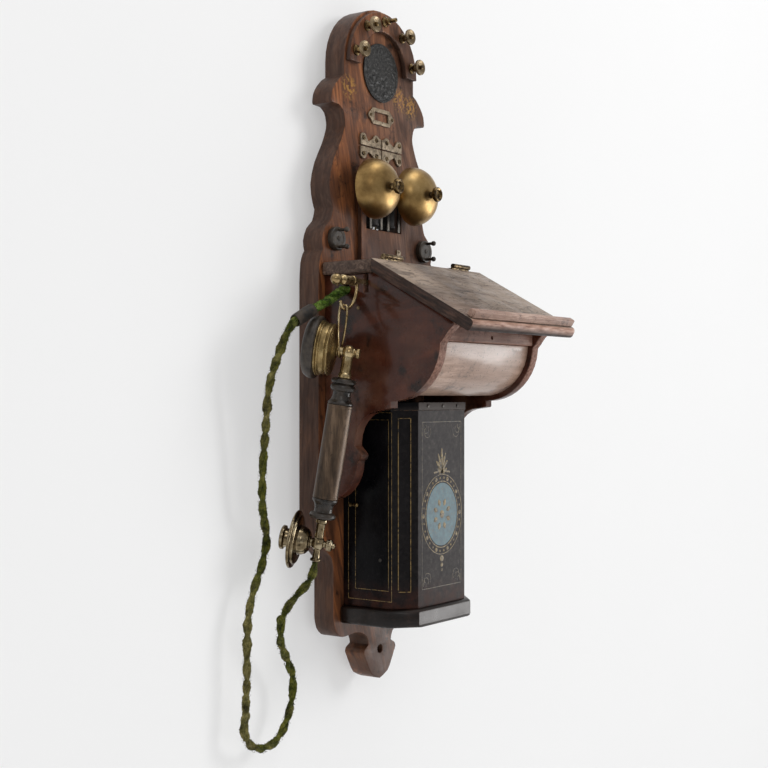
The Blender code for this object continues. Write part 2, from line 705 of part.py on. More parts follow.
def make_hook_lever():
    """Flat blade through the panel, turned barrel and ball outside it, and the hook below."""
    blade = block("hook_lever", (-113, LEVER_Y - 1.5, LEVER_Z - 2.5), (-45, LEVER_Y + 1.5, LEVER_Z + 2.5))
    barrel = turned("lever_barrel",
                    [(0, 0), (3.4, 0), (4.2, 2), (5.1, 3), (5.1, 21), (4.2, 22), (2.8, 24), (2.8, 25.5),
                     (4.9, 28), (5.5, 30.5), (4.6, 33.5), (2.6, 35.6), (0, 36.2)],
                    (-111, LEVER_Y, LEVER_Z), (-1, 0, 0), 14)
    hook = wire("lever_hook", [(x, LEVER_Y, z) for x, z in flow(HOOK_LINE)], HOOK_WIRE_R)
    lever = join(blade, barrel, hook)
    bore = turned("pivot_bore", [(0, 0), (2, 0), (2, 8), (0, 8)],
                  (LEVER_PIVOT_X, LEVER_Y + 4, LEVER_Z), FORWARD, 12)
    paint(cut(lever, bore), NICKEL)
    pivot("lever_axis", aimed((LEVER_PIVOT_X, LEVER_Y, LEVER_Z), FORWARD), lever)


def make_hook_bracket():
    bracket = block("hook_bracket", (-81.4, LEVER_Y - 7, 40), (-47, LEVER_Y + 7, 63))
    slot = block("bracket_slot", (-90, LEVER_Y - 3.4, 45), (-40, LEVER_Y + 3.4, 70))
    pin = turned("lever_pin", [(0, 0), (1.6, 0), (1.6, 14), (0, 14)],
                 (LEVER_PIVOT_X, LEVER_Y + 7, LEVER_Z), FORWARD, 12)
    paint(join(cut(bracket, slot), pin), BRASS)


# ---------------------------------------------------------------- handset

def handset_frame():
    """Origin at the ear yoke, +X the way the receiver faces, +Z up along the handle."""
    up = (EAR_YOKE - MOUTH_YOKE).normalized()
    face = (FACE - FACE.dot(up) * up).normalized()
    side = up.cross(face)
    turn = Matrix((face, side, up)).transposed().to_4x4()
    return shift(*EAR_YOKE) @ turn


def yoke_ball(name, height):
    """The ball where a yoke's stem and its cross piece meet."""
    profile = [(6.8 * math.sin(angle), -6.8 * math.cos(angle))
               for angle in (math.pi * step / 10 for step in range(11))]
    return turned(name, profile, (0, 0, height), UP, 16)


def make_handset():
    frame = handset_frame()
    span = (EAR_YOKE - MOUTH_YOKE).length
    down = (0, 0, -1)
    face = (1, 0, 0)
    pieces = []

    def handset_piece(obj, look, carrier):
        """Moves a piece that was modelled in the handset's own frame to its place."""
        obj.parent = carrier
        pieces.append(paint(obj, look))

    carrier = pivot("handset_frame", frame)

    tube = turned("handset_tube", [(0, 50.7), (12.2, 50.7), (12.2, 141.3), (0, 141.3)], (0, 0, 0), down, 20)
    handset_piece(tube, BLACK_METAL, carrier)
    upper = turned("collar_upper",
                   [(0, 25.3), (9, 25.3), (11.6, 26.2), (12.2, 28), (11.6, 30), (9.4, 31), (11.6, 32),
                    (12.2, 34.4), (11, 37), (8.6, 38.2), (8.6, 42), (9.8, 46), (12, 48.6), (12, 50.4),
                    (0, 50.4)], (0, 0, 0), down, 16)
    handset_piece(upper, EBONITE, carrier)
    lower = turned("collar_lower",
                   [(0, 141.6), (12, 141.6), (12, 143.6), (9.4, 147), (8.6, 151), (8.8, 154.4), (11.8, 155.6),
                    (12.8, 158), (11.8, 160.4), (0, 161.4)], (0, 0, 0), down, 16)
    handset_piece(lower, EBONITE, carrier)

    stem = turned("receiver_yoke",
                  [(0, -3), (4.2, -3), (5, 0), (4.8, 5), (4.8, 20), (5.8, 21), (5.8, 25), (0, 25)],
                  (0, 0, 0), down, 12)
    cross = turned("receiver_cross",
                   [(0, -11.6), (4, -11.3), (4.8, -10.2), (4.8, -8.2), (3.2, -7.6), (3.2, -6.6), (4.6, -6.2),
                    (4.6, -4.6), (3.8, -3.9), (5, -2.2), (5.5, 0), (5, 2.4), (4.3, 4), (4.3, 9.9), (5.4, 10),
                    (5.4, 10.9), (0, 10.9)], (0, 0, 0), face, 14)
    handset_piece(join(stem, cross, yoke_ball("receiver_ball", 0)), NICKEL, carrier)

    receiver = turned("receiver_body",
                      [(0, 11.2), (5.4, 11.2), (12, 14.6), (24.6, 15.4), (25.6, 16), (25.6, 17.2),
                       (24.4, 17.8),
                       (24.6, 22), (26, 24), (26, 26.6), (27, 27), (27, 28.6), (0, 28.6)],
                      (0, 0, 0), face, 26)
    handset_piece(receiver, BRASS, carrier)
    cap = turned("ear_cap",
                 [(0, 28.9), (29.4, 28.9), (30.4, 30.2), (30.4, 33.4), (29.4, 36.4), (27.4, 39.4),
                  (25.4, 40.5),
                  (20, 39.8), (9, 36.6), (0, 36)], (0, 0, 0), face, 26)
    handset_piece(cap, EBONITE, carrier)

    mouth = (0, 0, -span)
    foot = turned("transmitter_yoke",
                  [(0, 161.7), (5.4, 161.7), (5.4, 165), (4.2, 166), (4.2, 180), (5, 184.9), (4.6, 189.2),
                   (3.4, 191), (3.6, 199), (5.2, 199.8), (5.2, 202), (0, 202)], (0, 0, 0), down, 12)
    arms = turned("transmitter_cross",
                  [(0, -17), (2.4, -16.8), (2.6, -14.4), (5, -13.8), (5.6, -12.6), (5.6, -9.6), (4.8, -8.4),
                   (3.4, -7.8), (3.4, -4.6), (5, -2.4), (5.5, 0), (5, 2.4), (4.2, 4), (4.2, 7.2), (6.4, 7.6),
                   (6.4, 8.4), (0, 8.4)], mouth, face, 14)
    handset_piece(join(foot, arms, yoke_ball("transmitter_ball", -span)), NICKEL, carrier)
    bowl = turned("transmitter_body",
                  [(0, 8.7), (9.2, 8.7), (12, 11), (13.6, 14.6), (13.8, 18), (15.6, 18.6),
                   (22.4, 19), (23.8, 19.8),
                   (23.8, 21.4), (27.4, 21.8), (28.3, 22.8), (28.3, 23.9), (27.4, 24.6), (0, 24.6)],
                  mouth, face, 26)
    handset_piece(bowl, NICKEL, carrier)
    funnel = turned("mouthpiece", [(0, 24.9), (10.2, 24.9), (9, 26.4), (8.7, 29), (9.4, 32.2), (11.6, 33),
                                   (11.8, 35.4), (10.6, 36.5), (8.8, 35), (7.4, 31.6), (0, 31)],
                    mouth, face, 16)
    handset_piece(funnel, NICKEL, carrier)
    return carrier


LOOP_WIRE_R = 1.1
LOOP_LOW_HALF = 5.9            # half width where the loop passes under the receiver's neck
LOOP_TOP_HALF = 3.8            # and where it passes over the lever's hook
LOOP_TWIST = math.radians(100)


def make_hanger_loop(carrier):
    """A long twisted wire link, over the lever's hook at the top and under the receiver's neck below."""
    frame = handset_frame()
    face = frame.col[0].to_3d()
    neck = EAR_YOKE + face * LOOP_NECK
    top = Vector((-129.5, LEVER_Y, 29 + HOOK_WIRE_R + LOOP_WIRE_R + 1.3))
    rise = (top - neck).normalized()
    across = Vector((face.y, -face.x, 0)).normalized()

    def place(height, half, sign):
        """A point of the leg on that side, at a height above the neck along the link."""
        share = min(max(height / (top - neck).length, 0), 1)
        turn = Matrix.Rotation(-LOOP_TWIST * share * share * (3 - 2 * share), 3, rise)
        return neck + rise * height + turn @ across * half * sign

    length = (top - neck).length
    leg = [(0, LOOP_LOW_HALF), (0.10, 5.7), (0.22, 5.0), (0.38, 4.1), (0.55, 3.6), (0.72, 3.7),
           (0.88, LOOP_TOP_HALF)]
    leg = [(share * length, half) for share, half in leg]
    bend = [(length - 1.5, 3.3), (length - 0.3, 1.9)]
    side = {sign: [place(height, half, sign) for height, half in leg + bend] for sign in (1, -1)}
    bottom = [place(-LOOP_LOW_HALF * math.sin(angle), LOOP_LOW_HALF * math.cos(angle), 1)
              for angle in (math.radians(30 * step) for step in range(1, 6))]
    ring = side[1][::-1] + bottom + side[-1] + [top]
    loop = paint(wire("hanger_loop", ring, LOOP_WIRE_R, closed=True), NICKEL)
    follow(loop, carrier)


# ---------------------------------------------------------------- battery cover, base and battery

def cover_outline(grow=0.0, back=ON_BOARD):
    half = COVER_HALF_WIDTH + grow
    front_half = COVER_FRONT_HALF + grow * 0.41
    return [(-half, back), (-half, COVER_CHAMFER_Y - grow * 0.41), (-front_half, COVER_FRONT - grow),
            (front_half, COVER_FRONT - grow), (half, COVER_CHAMFER_Y - grow * 0.41), (half, back)]


def make_battery_box():
    """The metal cover, open at the back and below, over a dry cell that stands on the base moulding."""
    cover = plate("battery_cover", [cover_outline()], COVER_BOTTOM, COVER_TOP, "XY")
    lip = plate("cover_lip", [cover_outline(1.0)], COVER_TOP - 8, COVER_TOP, "XY")
    hollow = plate("cover_hollow", [cover_outline(-COVER_WALL, 0)],
                   COVER_BOTTOM - 5, COVER_TOP - COVER_WALL, "XY")
    paint(cut(join(cover, lip), hollow), BLACK_METAL)

    outline = [(-70.5, ON_BOARD), (-70.5, -86.5), (-47.5, -107.0),
               (47.5, -107.0), (70.5, -86.5), (70.5, ON_BOARD)]
    base = solid(plate("base_plate", [outline], BASE_BOTTOM, COVER_BOTTOM - GAP, "XY"))
    rounded = base.modifiers.new("Moulded edge", "BEVEL")
    rounded.width = 3.0 * MM
    rounded.segments = 2
    rounded.limit_method = "ANGLE"
    rounded.angle_limit = math.radians(60)
    paint(base, WOOD_DARK)

    cell = turned("battery_cell", [(0, 0), (31, 0), (31, 150), (29, 153), (5, 153), (5, 163), (0, 163)],
                  (0, -62, COVER_BOTTOM + GAP), UP, 24)
    paint(cell, ZINC_PAPER)


def make_cover_latch():
    x = -COVER_HALF_WIDTH - GAP
    y, z = -41.5, -163
    stem = turned("cover_latch", [(0, 0), (2.4, 0), (2.4, 1), (1.5, 2), (1.5, 5), (0, 5)],
                  (x, y, z), (-1, 0, 0), 10)
    knob = [(0, -6), (1.6, -5.5), (2.3, -3.9), (1.6, -2.3), (1.1, -1.6), (1.1, 1.6), (1.6, 2.3), (2.3, 3.9),
            (1.6, 5.5), (0, 6)]
    bar = turned("latch_bar", knob, (x - 4, y, z), (0, 1, 0), 10)
    latch = paint(join(stem, bar), BRASS)
    pivot("latch_axis", aimed((x, y, z), (-1, 0, 0)), latch)


# ---------------------------------------------------------------- cord

def make_cord():
    cord = wire("cord", flow(CORD_ROUTE), CORD_R)
    paint(cord, CORD_CLOTH)
    start, end = Vector(CORD_ROUTE[SLEEVE_FROM]), Vector(CORD_ROUTE[SLEEVE_TO])
    length = (end - start).length
    sleeve = turned("cord_sleeve",
                    [(5.9, 0), (6.3, 3), (6.5, length - 3), (6.3, length), (5.1, length), (5.1, 0)],
                    start, end - start, 14, ring=True)
    paint(sleeve, EBONITE)


def main():
    make_backboard()
    make_terminal_arch()
    make_medallion()
    for place, angle in POST_ANGLES.items():
        make_binding_post(place, angle)
    make_name_card_frame()
    make_arrester()
    make_plug_socket("left", -78.4)
    make_plug_socket("right", 78.4)
    make_ringer_surround()
    make_ringer_magnet()
    make_hammer()
    make_bell("left", -BELL_X)
    make_bell("right", BELL_X)
    make_desk_cap()
    make_side_panels()
    make_desk_front()
    lid, rail = make_lid()
    pivot("lid_axis", aimed((0, RIDGE_Y, HINGE_Z), (-1, 0, 0)), lid, rail)
    make_hinges()
    make_magneto()
    make_crank()
    make_hook_lever()
    make_hook_bracket()
    carrier = make_handset()
    make_hanger_loop(carrier)
    make_battery_box()
    make_cover_latch()
    make_cord()
    for obj in PARTS.objects:
        if obj.type == "MESH":
            obj.data.shade_smooth()


main()
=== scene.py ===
"""The wall telephone's looks: each visible piece in detail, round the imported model."""

import json
import math
import random

import bmesh
import bpy
from mathutils import Matrix, Vector, noise

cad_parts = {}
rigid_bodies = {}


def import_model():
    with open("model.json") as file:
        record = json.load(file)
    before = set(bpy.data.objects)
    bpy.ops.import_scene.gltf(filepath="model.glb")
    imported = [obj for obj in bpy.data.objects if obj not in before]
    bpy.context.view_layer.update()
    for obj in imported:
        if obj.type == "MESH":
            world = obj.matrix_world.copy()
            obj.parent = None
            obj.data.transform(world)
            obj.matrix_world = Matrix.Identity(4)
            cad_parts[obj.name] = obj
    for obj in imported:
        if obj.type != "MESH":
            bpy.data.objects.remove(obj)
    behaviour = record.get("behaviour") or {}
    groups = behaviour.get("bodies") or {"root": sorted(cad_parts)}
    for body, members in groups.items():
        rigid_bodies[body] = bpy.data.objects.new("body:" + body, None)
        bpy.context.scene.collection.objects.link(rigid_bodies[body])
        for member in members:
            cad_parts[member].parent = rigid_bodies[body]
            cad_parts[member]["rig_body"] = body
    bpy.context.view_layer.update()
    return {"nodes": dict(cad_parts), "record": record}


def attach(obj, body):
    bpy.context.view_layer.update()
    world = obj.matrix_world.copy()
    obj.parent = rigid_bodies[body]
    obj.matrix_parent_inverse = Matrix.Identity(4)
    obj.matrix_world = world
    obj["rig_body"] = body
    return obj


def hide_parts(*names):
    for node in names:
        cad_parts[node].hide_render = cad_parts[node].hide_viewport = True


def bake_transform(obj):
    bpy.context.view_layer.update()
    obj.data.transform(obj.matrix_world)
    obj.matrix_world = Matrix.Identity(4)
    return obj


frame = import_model()
NODES = frame["nodes"]
SLOTS = {row["node"]: row["material_slot"] for row in frame["record"]["subparts"]}
MM = 0.001
LEFT, RIGHT, UP, DOWN, FORWARD = (-1, 0, 0), (1, 0, 0), (0, 0, 1), (0, 0, -1), (0, -1, 0)
random.seed(7)


# ---------------------------------------------------------------- camera

camera_data = bpy.data.cameras.new("camera")
camera_data.sensor_width = 36.0
camera_data.lens = 64.69
camera_data.shift_y = 12 / 768
camera_data.clip_start, camera_data.clip_end = 0.05, 50.0
camera = bpy.data.objects.new("camera", camera_data)
bpy.context.scene.collection.objects.link(camera)
camera.location = (-1.17762, -0.87015, -0.0538)
camera.rotation_mode = "QUATERNION"
camera.rotation_quaternion = Vector((0.8141, 0.5807, 0)).to_track_quat("-Z", "Y")
bpy.context.scene.camera = camera


# ---------------------------------------------------------------- lines

def flow(points, steps):
    """A smooth line through the points (Catmull-Rom)."""
    padded = [points[0], *points, points[-1]]
    line = []
    for before, a, b, after in zip(padded, padded[1:], padded[2:], padded[3:]):
        for i in range(steps):
            t = i / steps
            line.append(tuple(
                0.5 * (2 * q + (r - p) * t + (2 * p - 5 * q + 4 * r - s) * t * t
                       + (3 * q - p - 3 * r + s) * t ** 3)
                for p, q, r, s in zip(before, a, b, after)))
    return [*line, tuple(points[-1])]


def arc(cx, cy, radius, start, end, steps, tall=None):
    """Points round a circle, or an ellipse where tall gives its second radius."""
    angles = [math.radians(start + (end - start) * i / steps) for i in range(steps + 1)]
    return [(cx + radius * math.cos(a), cy + (tall or radius) * math.sin(a)) for a in angles]


def turns(count):
    """Angles of count even steps round a circle."""
    return [2 * math.pi * i / count for i in range(count)]


def eased(line, cut, closed=False):
    """The line with its corners rounded off."""
    count, out = len(line), []
    for i, point in enumerate(line):
        here = Vector(point)
        if not closed and i in (0, count - 1):
            out.append(tuple(here))
            continue
        back, on = Vector(line[i - 1]) - here, Vector(line[(i + 1) % count]) - here
        if back.length < 1e-6 or on.length < 1e-6 or back.angle(on) > math.radians(172):
            out.append(tuple(here))
            continue
        start = here + back.normalized() * min(cut, 0.42 * back.length)
        end = here + on.normalized() * min(cut, 0.42 * on.length)
        for t in (0, 0.35, 0.65, 1):
            out.append(tuple(start * (1 - t) ** 2 + here * 2 * t * (1 - t) + end * t * t))
    return out


def framed(points, closed=False):
    """Each point with two axes square to the line there, carried along it without a twist."""
    count, across, frames = len(points), None, []
    for i, here in enumerate(points):
        if closed:
            ahead, behind = points[(i + 1) % count], points[i - 1]
        else:
            ahead, behind = points[min(i + 1, count - 1)], points[max(i - 1, 0)]
        along = (ahead - behind).normalized()
        across = along.orthogonal().normalized() if across is None else across
        across = (across - across.dot(along) * along).normalized()
        frames.append((here, across, along.cross(across)))
    return frames


def aimed(at, toward):
    """A transform with its Z axis along toward."""
    return Matrix.Translation(at) @ Vector(toward).to_track_quat("Z", "Y").to_matrix().to_4x4()


# ---------------------------------------------------------------- shapes

class Form:
    """Gathers shapes, in millimetres in the row's frame, into one mesh."""

    def __init__(self, place=None):
        self.shape = bmesh.new()
        self.place = place or Matrix.Identity(4)

    def point(self, *co):
        return self.shape.verts.new(self.place @ Vector(co))

    def row(self, points):
        return [self.point(*p) for p in points]

    def faces(self, corners, *picks):
        for pick in picks:
            self.shape.faces.new([corners[i] for i in pick])

    def skin(self, rows, wrap=True, close=False):
        """Faces between rows of corners; a row of one is a tip."""
        pairs = list(zip(rows, rows[1:]))
        if close:
            pairs.append((rows[-1], rows[0]))
        for a, b in pairs:
            count = max(len(a), len(b))
            for i in range(count if wrap else count - 1):
                j = (i + 1) % count
                corners = [a[i % len(a)], a[j % len(a)], b[j % len(b)], b[i % len(b)]]
                unique = list(dict.fromkeys(corners))
                if len(unique) > 2:
                    self.shape.faces.new(unique)
        return self

    def lathe(self, profile, at, toward, steps=64, cut=0.5, ring=False, knurl=None):
        """A turned shape from (radius, height) pairs; knurl is (low, high, count, depth)."""
        line = eased(profile, cut, ring) if cut else profile
        turn = aimed(at, toward)
        rows = []
        for radius, height in line:
            if radius < 1e-4:
                rows.append([self.point(*(turn @ Vector((0, 0, height))))])
                continue
            row = []
            for angle in turns(steps):
                reach = radius
                if knurl and knurl[0] <= height <= knurl[1]:
                    reach -= knurl[3] * (0.5 + 0.5 * math.cos(knurl[2] * angle))
                row.append(turn @ Vector((reach * math.cos(angle), reach * math.sin(angle), height)))
            rows.append(self.row(row))
        return self.skin(rows, close=ring)

    def tube(self, points, radius, sides=12, closed=False):
        """A round wire; radius is a number or a function of the share of the way along."""
        points = [Vector(p) for p in points]
        rows = []
        for i, (here, across, other) in enumerate(framed(points, closed)):
            size = radius(i / (len(points) - 1)) if callable(radius) else radius
            rows.append(self.row(here + size * (across * math.cos(a) + other * math.sin(a))
                                 for a in turns(sides)))
        if not closed:
            rows = [[self.point(*points[0])], *rows, [self.point(*points[-1])]]
            return self.skin(rows)
        # The last row meets the first where their corners come closest.
        last, first = rows[-1], rows[0]
        shift = min(range(sides), key=lambda s: sum(
            (last[k].co - first[(k + s) % sides].co).length for k in range(sides)))
        self.skin(rows)
        return self.skin([last, [first[(k + shift) % sides] for k in range(sides)]])

    def slab(self, outline, low, high, axis="Y", top=1.0):
        """An outline pushed from low to high along an axis, shrunk towards its middle by top at high."""
        cx = sum(p[0] for p in outline) / len(outline)
        cy = sum(p[1] for p in outline) / len(outline)
        lay = {"Y": lambda x, z, d: (x, d, z), "X": lambda y, z, d: (d, y, z),
               "Z": lambda x, y, d: (x, y, d)}[axis]
        rows = []
        for depth, size in ((low, 1.0), (high, top)):
            rows.append(self.row(lay(cx + (x - cx) * size, cy + (y - cy) * size, depth) for x, y in outline))
        return self.capped(rows)

    def capped(self, rows):
        """A skin closed at its first and last row."""
        self.skin(rows)
        self.shape.faces.new(rows[0])
        self.shape.faces.new(rows[-1])
        return self

    def box(self, low, high):
        outline = [(low[0], low[2]), (high[0], low[2]), (high[0], high[2]), (low[0], high[2])]
        return self.slab(outline, low[1], high[1])

    def screw(self, at, toward, radius, turn=0.6, high=0.9):
        """A slotted head."""
        keep, self.place = self.place, self.place @ aimed(at, toward) @ Matrix.Rotation(turn, 4, "Z")
        top = high * 0.45
        self.lathe([(0, -0.5), (radius, -0.5), (radius, top), (0, top)], (0, 0, 0), UP, 24, 0.1)
        edge = math.degrees(math.asin(0.16))
        for start in (edge, 180 + edge):
            self.slab(arc(0, 0, radius * 0.97, start, start + 180 - 2 * edge, 12), 0.2, high, "Z", 0.8)
        self.place = keep
        return self

    def leaf(self, line, width, lift, normal):
        """A flat strip along points, proud of the surface by lift, for painted or inlaid lines."""
        points = [Vector(p) for p in line]
        normal = Vector(normal).normalized()
        rows = []
        for i, here in enumerate(points):
            along = (points[min(i + 1, len(points) - 1)] - points[max(i - 1, 0)]).normalized()
            side = along.cross(normal).normalized() * width / 2
            low, high = here - normal * 0.05, here + normal * lift
            rows.append(self.row((low - side, high - side * 0.8, high + side * 0.8, low + side)))
        return self.capped(rows)

    def done(self, name, look, body="root", slot=None, node=None, sharp=38):
        """The finished piece, standing for a CAD node if one is named."""
        bmesh.ops.recalc_face_normals(self.shape, faces=self.shape.faces)
        bmesh.ops.scale(self.shape, vec=(MM, MM, MM), verts=self.shape.verts)
        mesh = bpy.data.meshes.new(name)
        self.shape.to_mesh(mesh)
        self.shape.free()
        return dress(mesh, name, look, body, slot, node, sharp=sharp)


def dress(mesh, name, look, body=None, slot=None, node=None, bevel=0.0, sharp=38):
    """Puts a mesh in the scene as a piece: smooth, with its material, on its body."""
    obj = bpy.data.objects.new(name, mesh)
    bpy.context.scene.collection.objects.link(obj)
    mesh.materials.clear()
    mesh.materials.append(look)
    mesh.shade_smooth()
    if bevel:
        rounded = obj.modifiers.new("Rounded", "BEVEL")
        rounded.width = bevel * MM
        rounded.segments = 3
        rounded.limit_method = "ANGLE"
        rounded.angle_limit = math.radians(32)
        rounded.harden_normals = True
    else:
        mesh.set_sharp_from_angle(angle=math.radians(sharp))
    if node:
        body, slot = NODES[node]["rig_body"], SLOTS[node]
        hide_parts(node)
    if body:
        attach(obj, body)
    return obj


def refined(node, look, bevel):
    """A copy of a CAD node with softened edges."""
    work = bmesh.new()
    work.from_mesh(NODES[node].data)
    bmesh.ops.remove_doubles(work, verts=work.verts, dist=2e-6)
    bmesh.ops.dissolve_limit(work, angle_limit=math.radians(1.5), verts=work.verts, edges=work.edges)
    bmesh.ops.recalc_face_normals(work, faces=work.faces)
    mesh = bpy.data.meshes.new(node)
    work.to_mesh(mesh)
    work.free()
    dress(mesh, node + "_skin", look, node=node, bevel=bevel)


# ---------------------------------------------------------------- materials

def linear(tone):
    """Scene-linear colour from 0-255 display values."""
    def one(c):
        c /= 255
        return c / 12.92 if c <= 0.04045 else ((c + 0.055) / 1.055) ** 2.4
    return (*(one(c) for c in tone), 1.0)


class Look:
    """A procedural material read in the piece's own coordinates; its tone is laid on coat by coat."""

    def __init__(self, name, metallic=0.0, **sockets):
        self.material = bpy.data.materials.new(name)
        self.material.use_nodes = True
        self.tree = self.material.node_tree
        self.shader = self.tree.nodes["Principled BSDF"]
        for key, value in {"Metallic": metallic, **sockets}.items():
            self.shader.inputs[key.replace("_", " ")].default_value = value
        self.where = self.add("TexCoord").outputs["Object"]
        self.normal = self.tone = None

    def add(self, kind, feeds=None, **settings):
        node = self.tree.nodes.new("ShaderNode" + kind)
        for key, value in settings.items():
            setattr(node, key, value)
        for socket, value in (feeds or {}).items():
            if isinstance(value, bpy.types.NodeSocket):
                self.tree.links.new(value, node.inputs[socket])
            else:
                node.inputs[socket].default_value = value
        return node

    def noise(self, size, stretch=(1, 1, 1), turn=(0, 0, 0), detail=4.0, rough=0.55, warp=0.0, at=(0, 0, 0)):
        """Noise with features about size mm across, drawn out along the axes by stretch."""
        mapping = self.add("Mapping", {"Vector": self.where, "Rotation": turn, "Scale": stretch,
                                       "Location": at}, vector_type="TEXTURE")
        return self.add("TexNoise", {"Vector": mapping.outputs[0], "Scale": 1 / (size * MM), "Detail": detail,
                                     "Roughness": rough, "Distortion": warp}).outputs["Fac"]

    def bands(self, size, axis, warp=0.0):
        """Regular ridges about size mm apart along an axis."""
        return self.add("TexWave", {"Vector": self.where, "Scale": math.pi / 20 / (size * MM),
                                    "Distortion": warp}, bands_direction=axis).outputs["Fac"]

    def ramp(self, value, *stops):
        """Colours (0-255) or greys (0-1) at positions along a value."""
        node = self.add("ValToRGB", {"Fac": value})
        elements = node.color_ramp.elements
        while len(elements) < len(stops):
            elements.new(0.5)
        for element, (position, tone) in zip(elements, stops):
            element.position = position
            element.color = (tone, tone, tone, 1.0) if isinstance(tone, (int, float)) else linear(tone)
        return node.outputs["Color"]

    def spots(self, size, *stops, **how):
        """A ramp over noise of its own: stains, wear and patches about size mm across."""
        return self.ramp(self.noise(size, **how), *stops)

    def mix(self, factor, a, b):
        node = self.add("Mix", data_type="RGBA")
        for index, value in ((0, factor), (6, a), (7, b)):
            if isinstance(value, bpy.types.NodeSocket):
                self.tree.links.new(value, node.inputs[index])
            elif isinstance(value, tuple):
                node.inputs[index].default_value = linear(value)
            else:
                node.inputs[index].default_value = value if index == 0 else (value, value, value, 1.0)
        return node.outputs[2]

    def lay(self, mask, colour):
        """Lays a colour over the tone where the mask is 1."""
        self.tone = self.mix(mask, self.tone, colour)
        return self

    def both(self, *masks):
        """Masks multiplied together."""
        total = masks[0]
        for mask in masks[1:]:
            total = self.add("Math", {0: total, 1: mask}, operation="MULTIPLY").outputs[0]
        return total

    def but(self, mask):
        """1 where the mask is 0."""
        return self.add("Math", {0: 1.0, 1: mask}, operation="SUBTRACT").outputs[0]

    def edges(self, size, start=0.90, end=0.60):
        """1 along convex and concave corners about size mm wide."""
        soft = self.add("Bevel", {"Radius": size * MM}, samples=4)
        flat = self.add("NewGeometry")
        dot = self.add("VectorMath", {0: soft.outputs[0], 1: flat.outputs["Normal"]}, operation="DOT_PRODUCT")
        return self.ramp(dot.outputs["Value"], (end, 1.0), (start, 0.0))

    def between(self, axis, low, high):
        """0 at low, 1 at high, for the piece's own X, Y or Z in metres."""
        value = self.add("SeparateXYZ", {0: self.where}).outputs[axis]
        return self.add("MapRange", {"Value": value, "From Min": low, "From Max": high}).outputs[0]

    def facing(self, axis, low=0.4, high=0.7):
        """1 where the surface faces along an axis, given as "X", "-Y" and so on."""
        normal = self.add("SeparateXYZ", {0: self.add("TexCoord").outputs["Normal"]}).outputs[axis[-1]]
        if axis[0] == "-":
            low, high = -low, -high
        return self.add("MapRange", {"Value": normal, "From Min": low, "From Max": high}).outputs[0]

    def near(self, centre, radius):
        """1 at a place given in millimetres, down to 0 at the radius."""
        gap = self.add("VectorMath", {0: self.where, 1: tuple(c * MM for c in centre)}, operation="DISTANCE")
        return self.add("MapRange", {"Value": gap.outputs["Value"], "From Min": radius * MM,
                                     "From Max": radius * 0.4 * MM}).outputs[0]

    def bump(self, height, depth, strength=1.0):
        """Relief depth mm deep."""
        feeds = {"Height": height, "Distance": depth * MM, "Strength": strength}
        if self.normal:
            feeds["Normal"] = self.normal
        self.normal = self.add("Bump", feeds).outputs[0]
        return self

    def out(self, roughness=None, coat=None):
        """The finished material."""
        feeds = {"Base Color": self.tone, "Roughness": roughness, "Coat Weight": coat, "Normal": self.normal}
        if self.shader.inputs["Coat Weight"].default_value:
            feeds["Coat Normal"] = self.normal
        for socket, value in feeds.items():
            if value:
                self.tree.links.new(value, self.shader.inputs[socket])
        return self.material


def wood(name, dark, middle, light, rough, figure, coat, worn, specks=0.0, wear=0.8, gloss=0.2, front=None):
    """Polished wood with its grain along X, worn at the corners and specked with dirt."""
    look = Look(name, Coat_Weight=coat, Coat_Roughness=0.12, Specular_IOR_Level=gloss)
    fine = (26, 1, 1)
    rings = look.noise(figure, (9, 1, 1), detail=5, rough=0.6, warp=1.6)
    streak = look.noise(1.6, fine, detail=3, rough=0.6)
    look.tone = look.ramp(rings, (0.30, dark), (0.50, middle), (0.68, light))
    look.lay(look.ramp(streak, (0.30, 0.55), (0.62, 0.0)), dark)
    look.lay(look.spots(60, (0.42, 0.6), (0.62, 0.0), detail=3, rough=0.5), dark)
    look.lay(look.spots(14, (0.30, 0.75), (0.44, 0.0), detail=6, rough=0.7), (22, 14, 11))
    look.lay(look.both(look.edges(wear), look.spots(5, (0.38, 0.0), (0.60, 1.0))), worn)
    if front:
        look.lay(look.both(look.facing("-Y", 0.75, 0.95), look.ramp(streak, (0.3, 0.5), (0.6, 1.0))), front)
    if specks:
        look.lay(look.spots(1.5, (0.30, specks), (0.36, 0.0), detail=2, rough=0.5), (40, 26, 20))
    look.bump(look.noise(0.5, fine, detail=2, rough=0.5), 0.05).bump(rings, 0.12)
    return look.out(look.spots(22, (0.3, rough[0]), (0.7, rough[1]), detail=5, rough=0.6))


def metal(name, dark, middle, light, rough, size, pits, metallic=1.0, tarnish=None, rub=None, share=0.40):
    """Cast or turned metal, dull in its hollows and bright where it is handled."""
    look = Look(name, metallic)
    cloud = look.noise(size, detail=6, rough=0.6)
    grit = look.noise(0.7, detail=3)
    look.tone = look.ramp(cloud, (0.34, dark), (0.50, middle), (0.66, light))
    look.lay(look.ramp(grit, (0.28, 0.45), (0.46, 0.0)), dark)
    if tarnish:
        look.lay(look.spots(4.5, (share, 1.0), (share + 0.07, 0.0), detail=7, rough=0.7), tarnish)
    if rub:
        look.lay(look.edges(0.6), rub)
    look.bump(grit, pits).bump(look.noise(2.4, detail=3), pits * 1.6)
    return look.out(look.ramp(cloud, (0.3, rough[1]), (0.7, rough[0])))


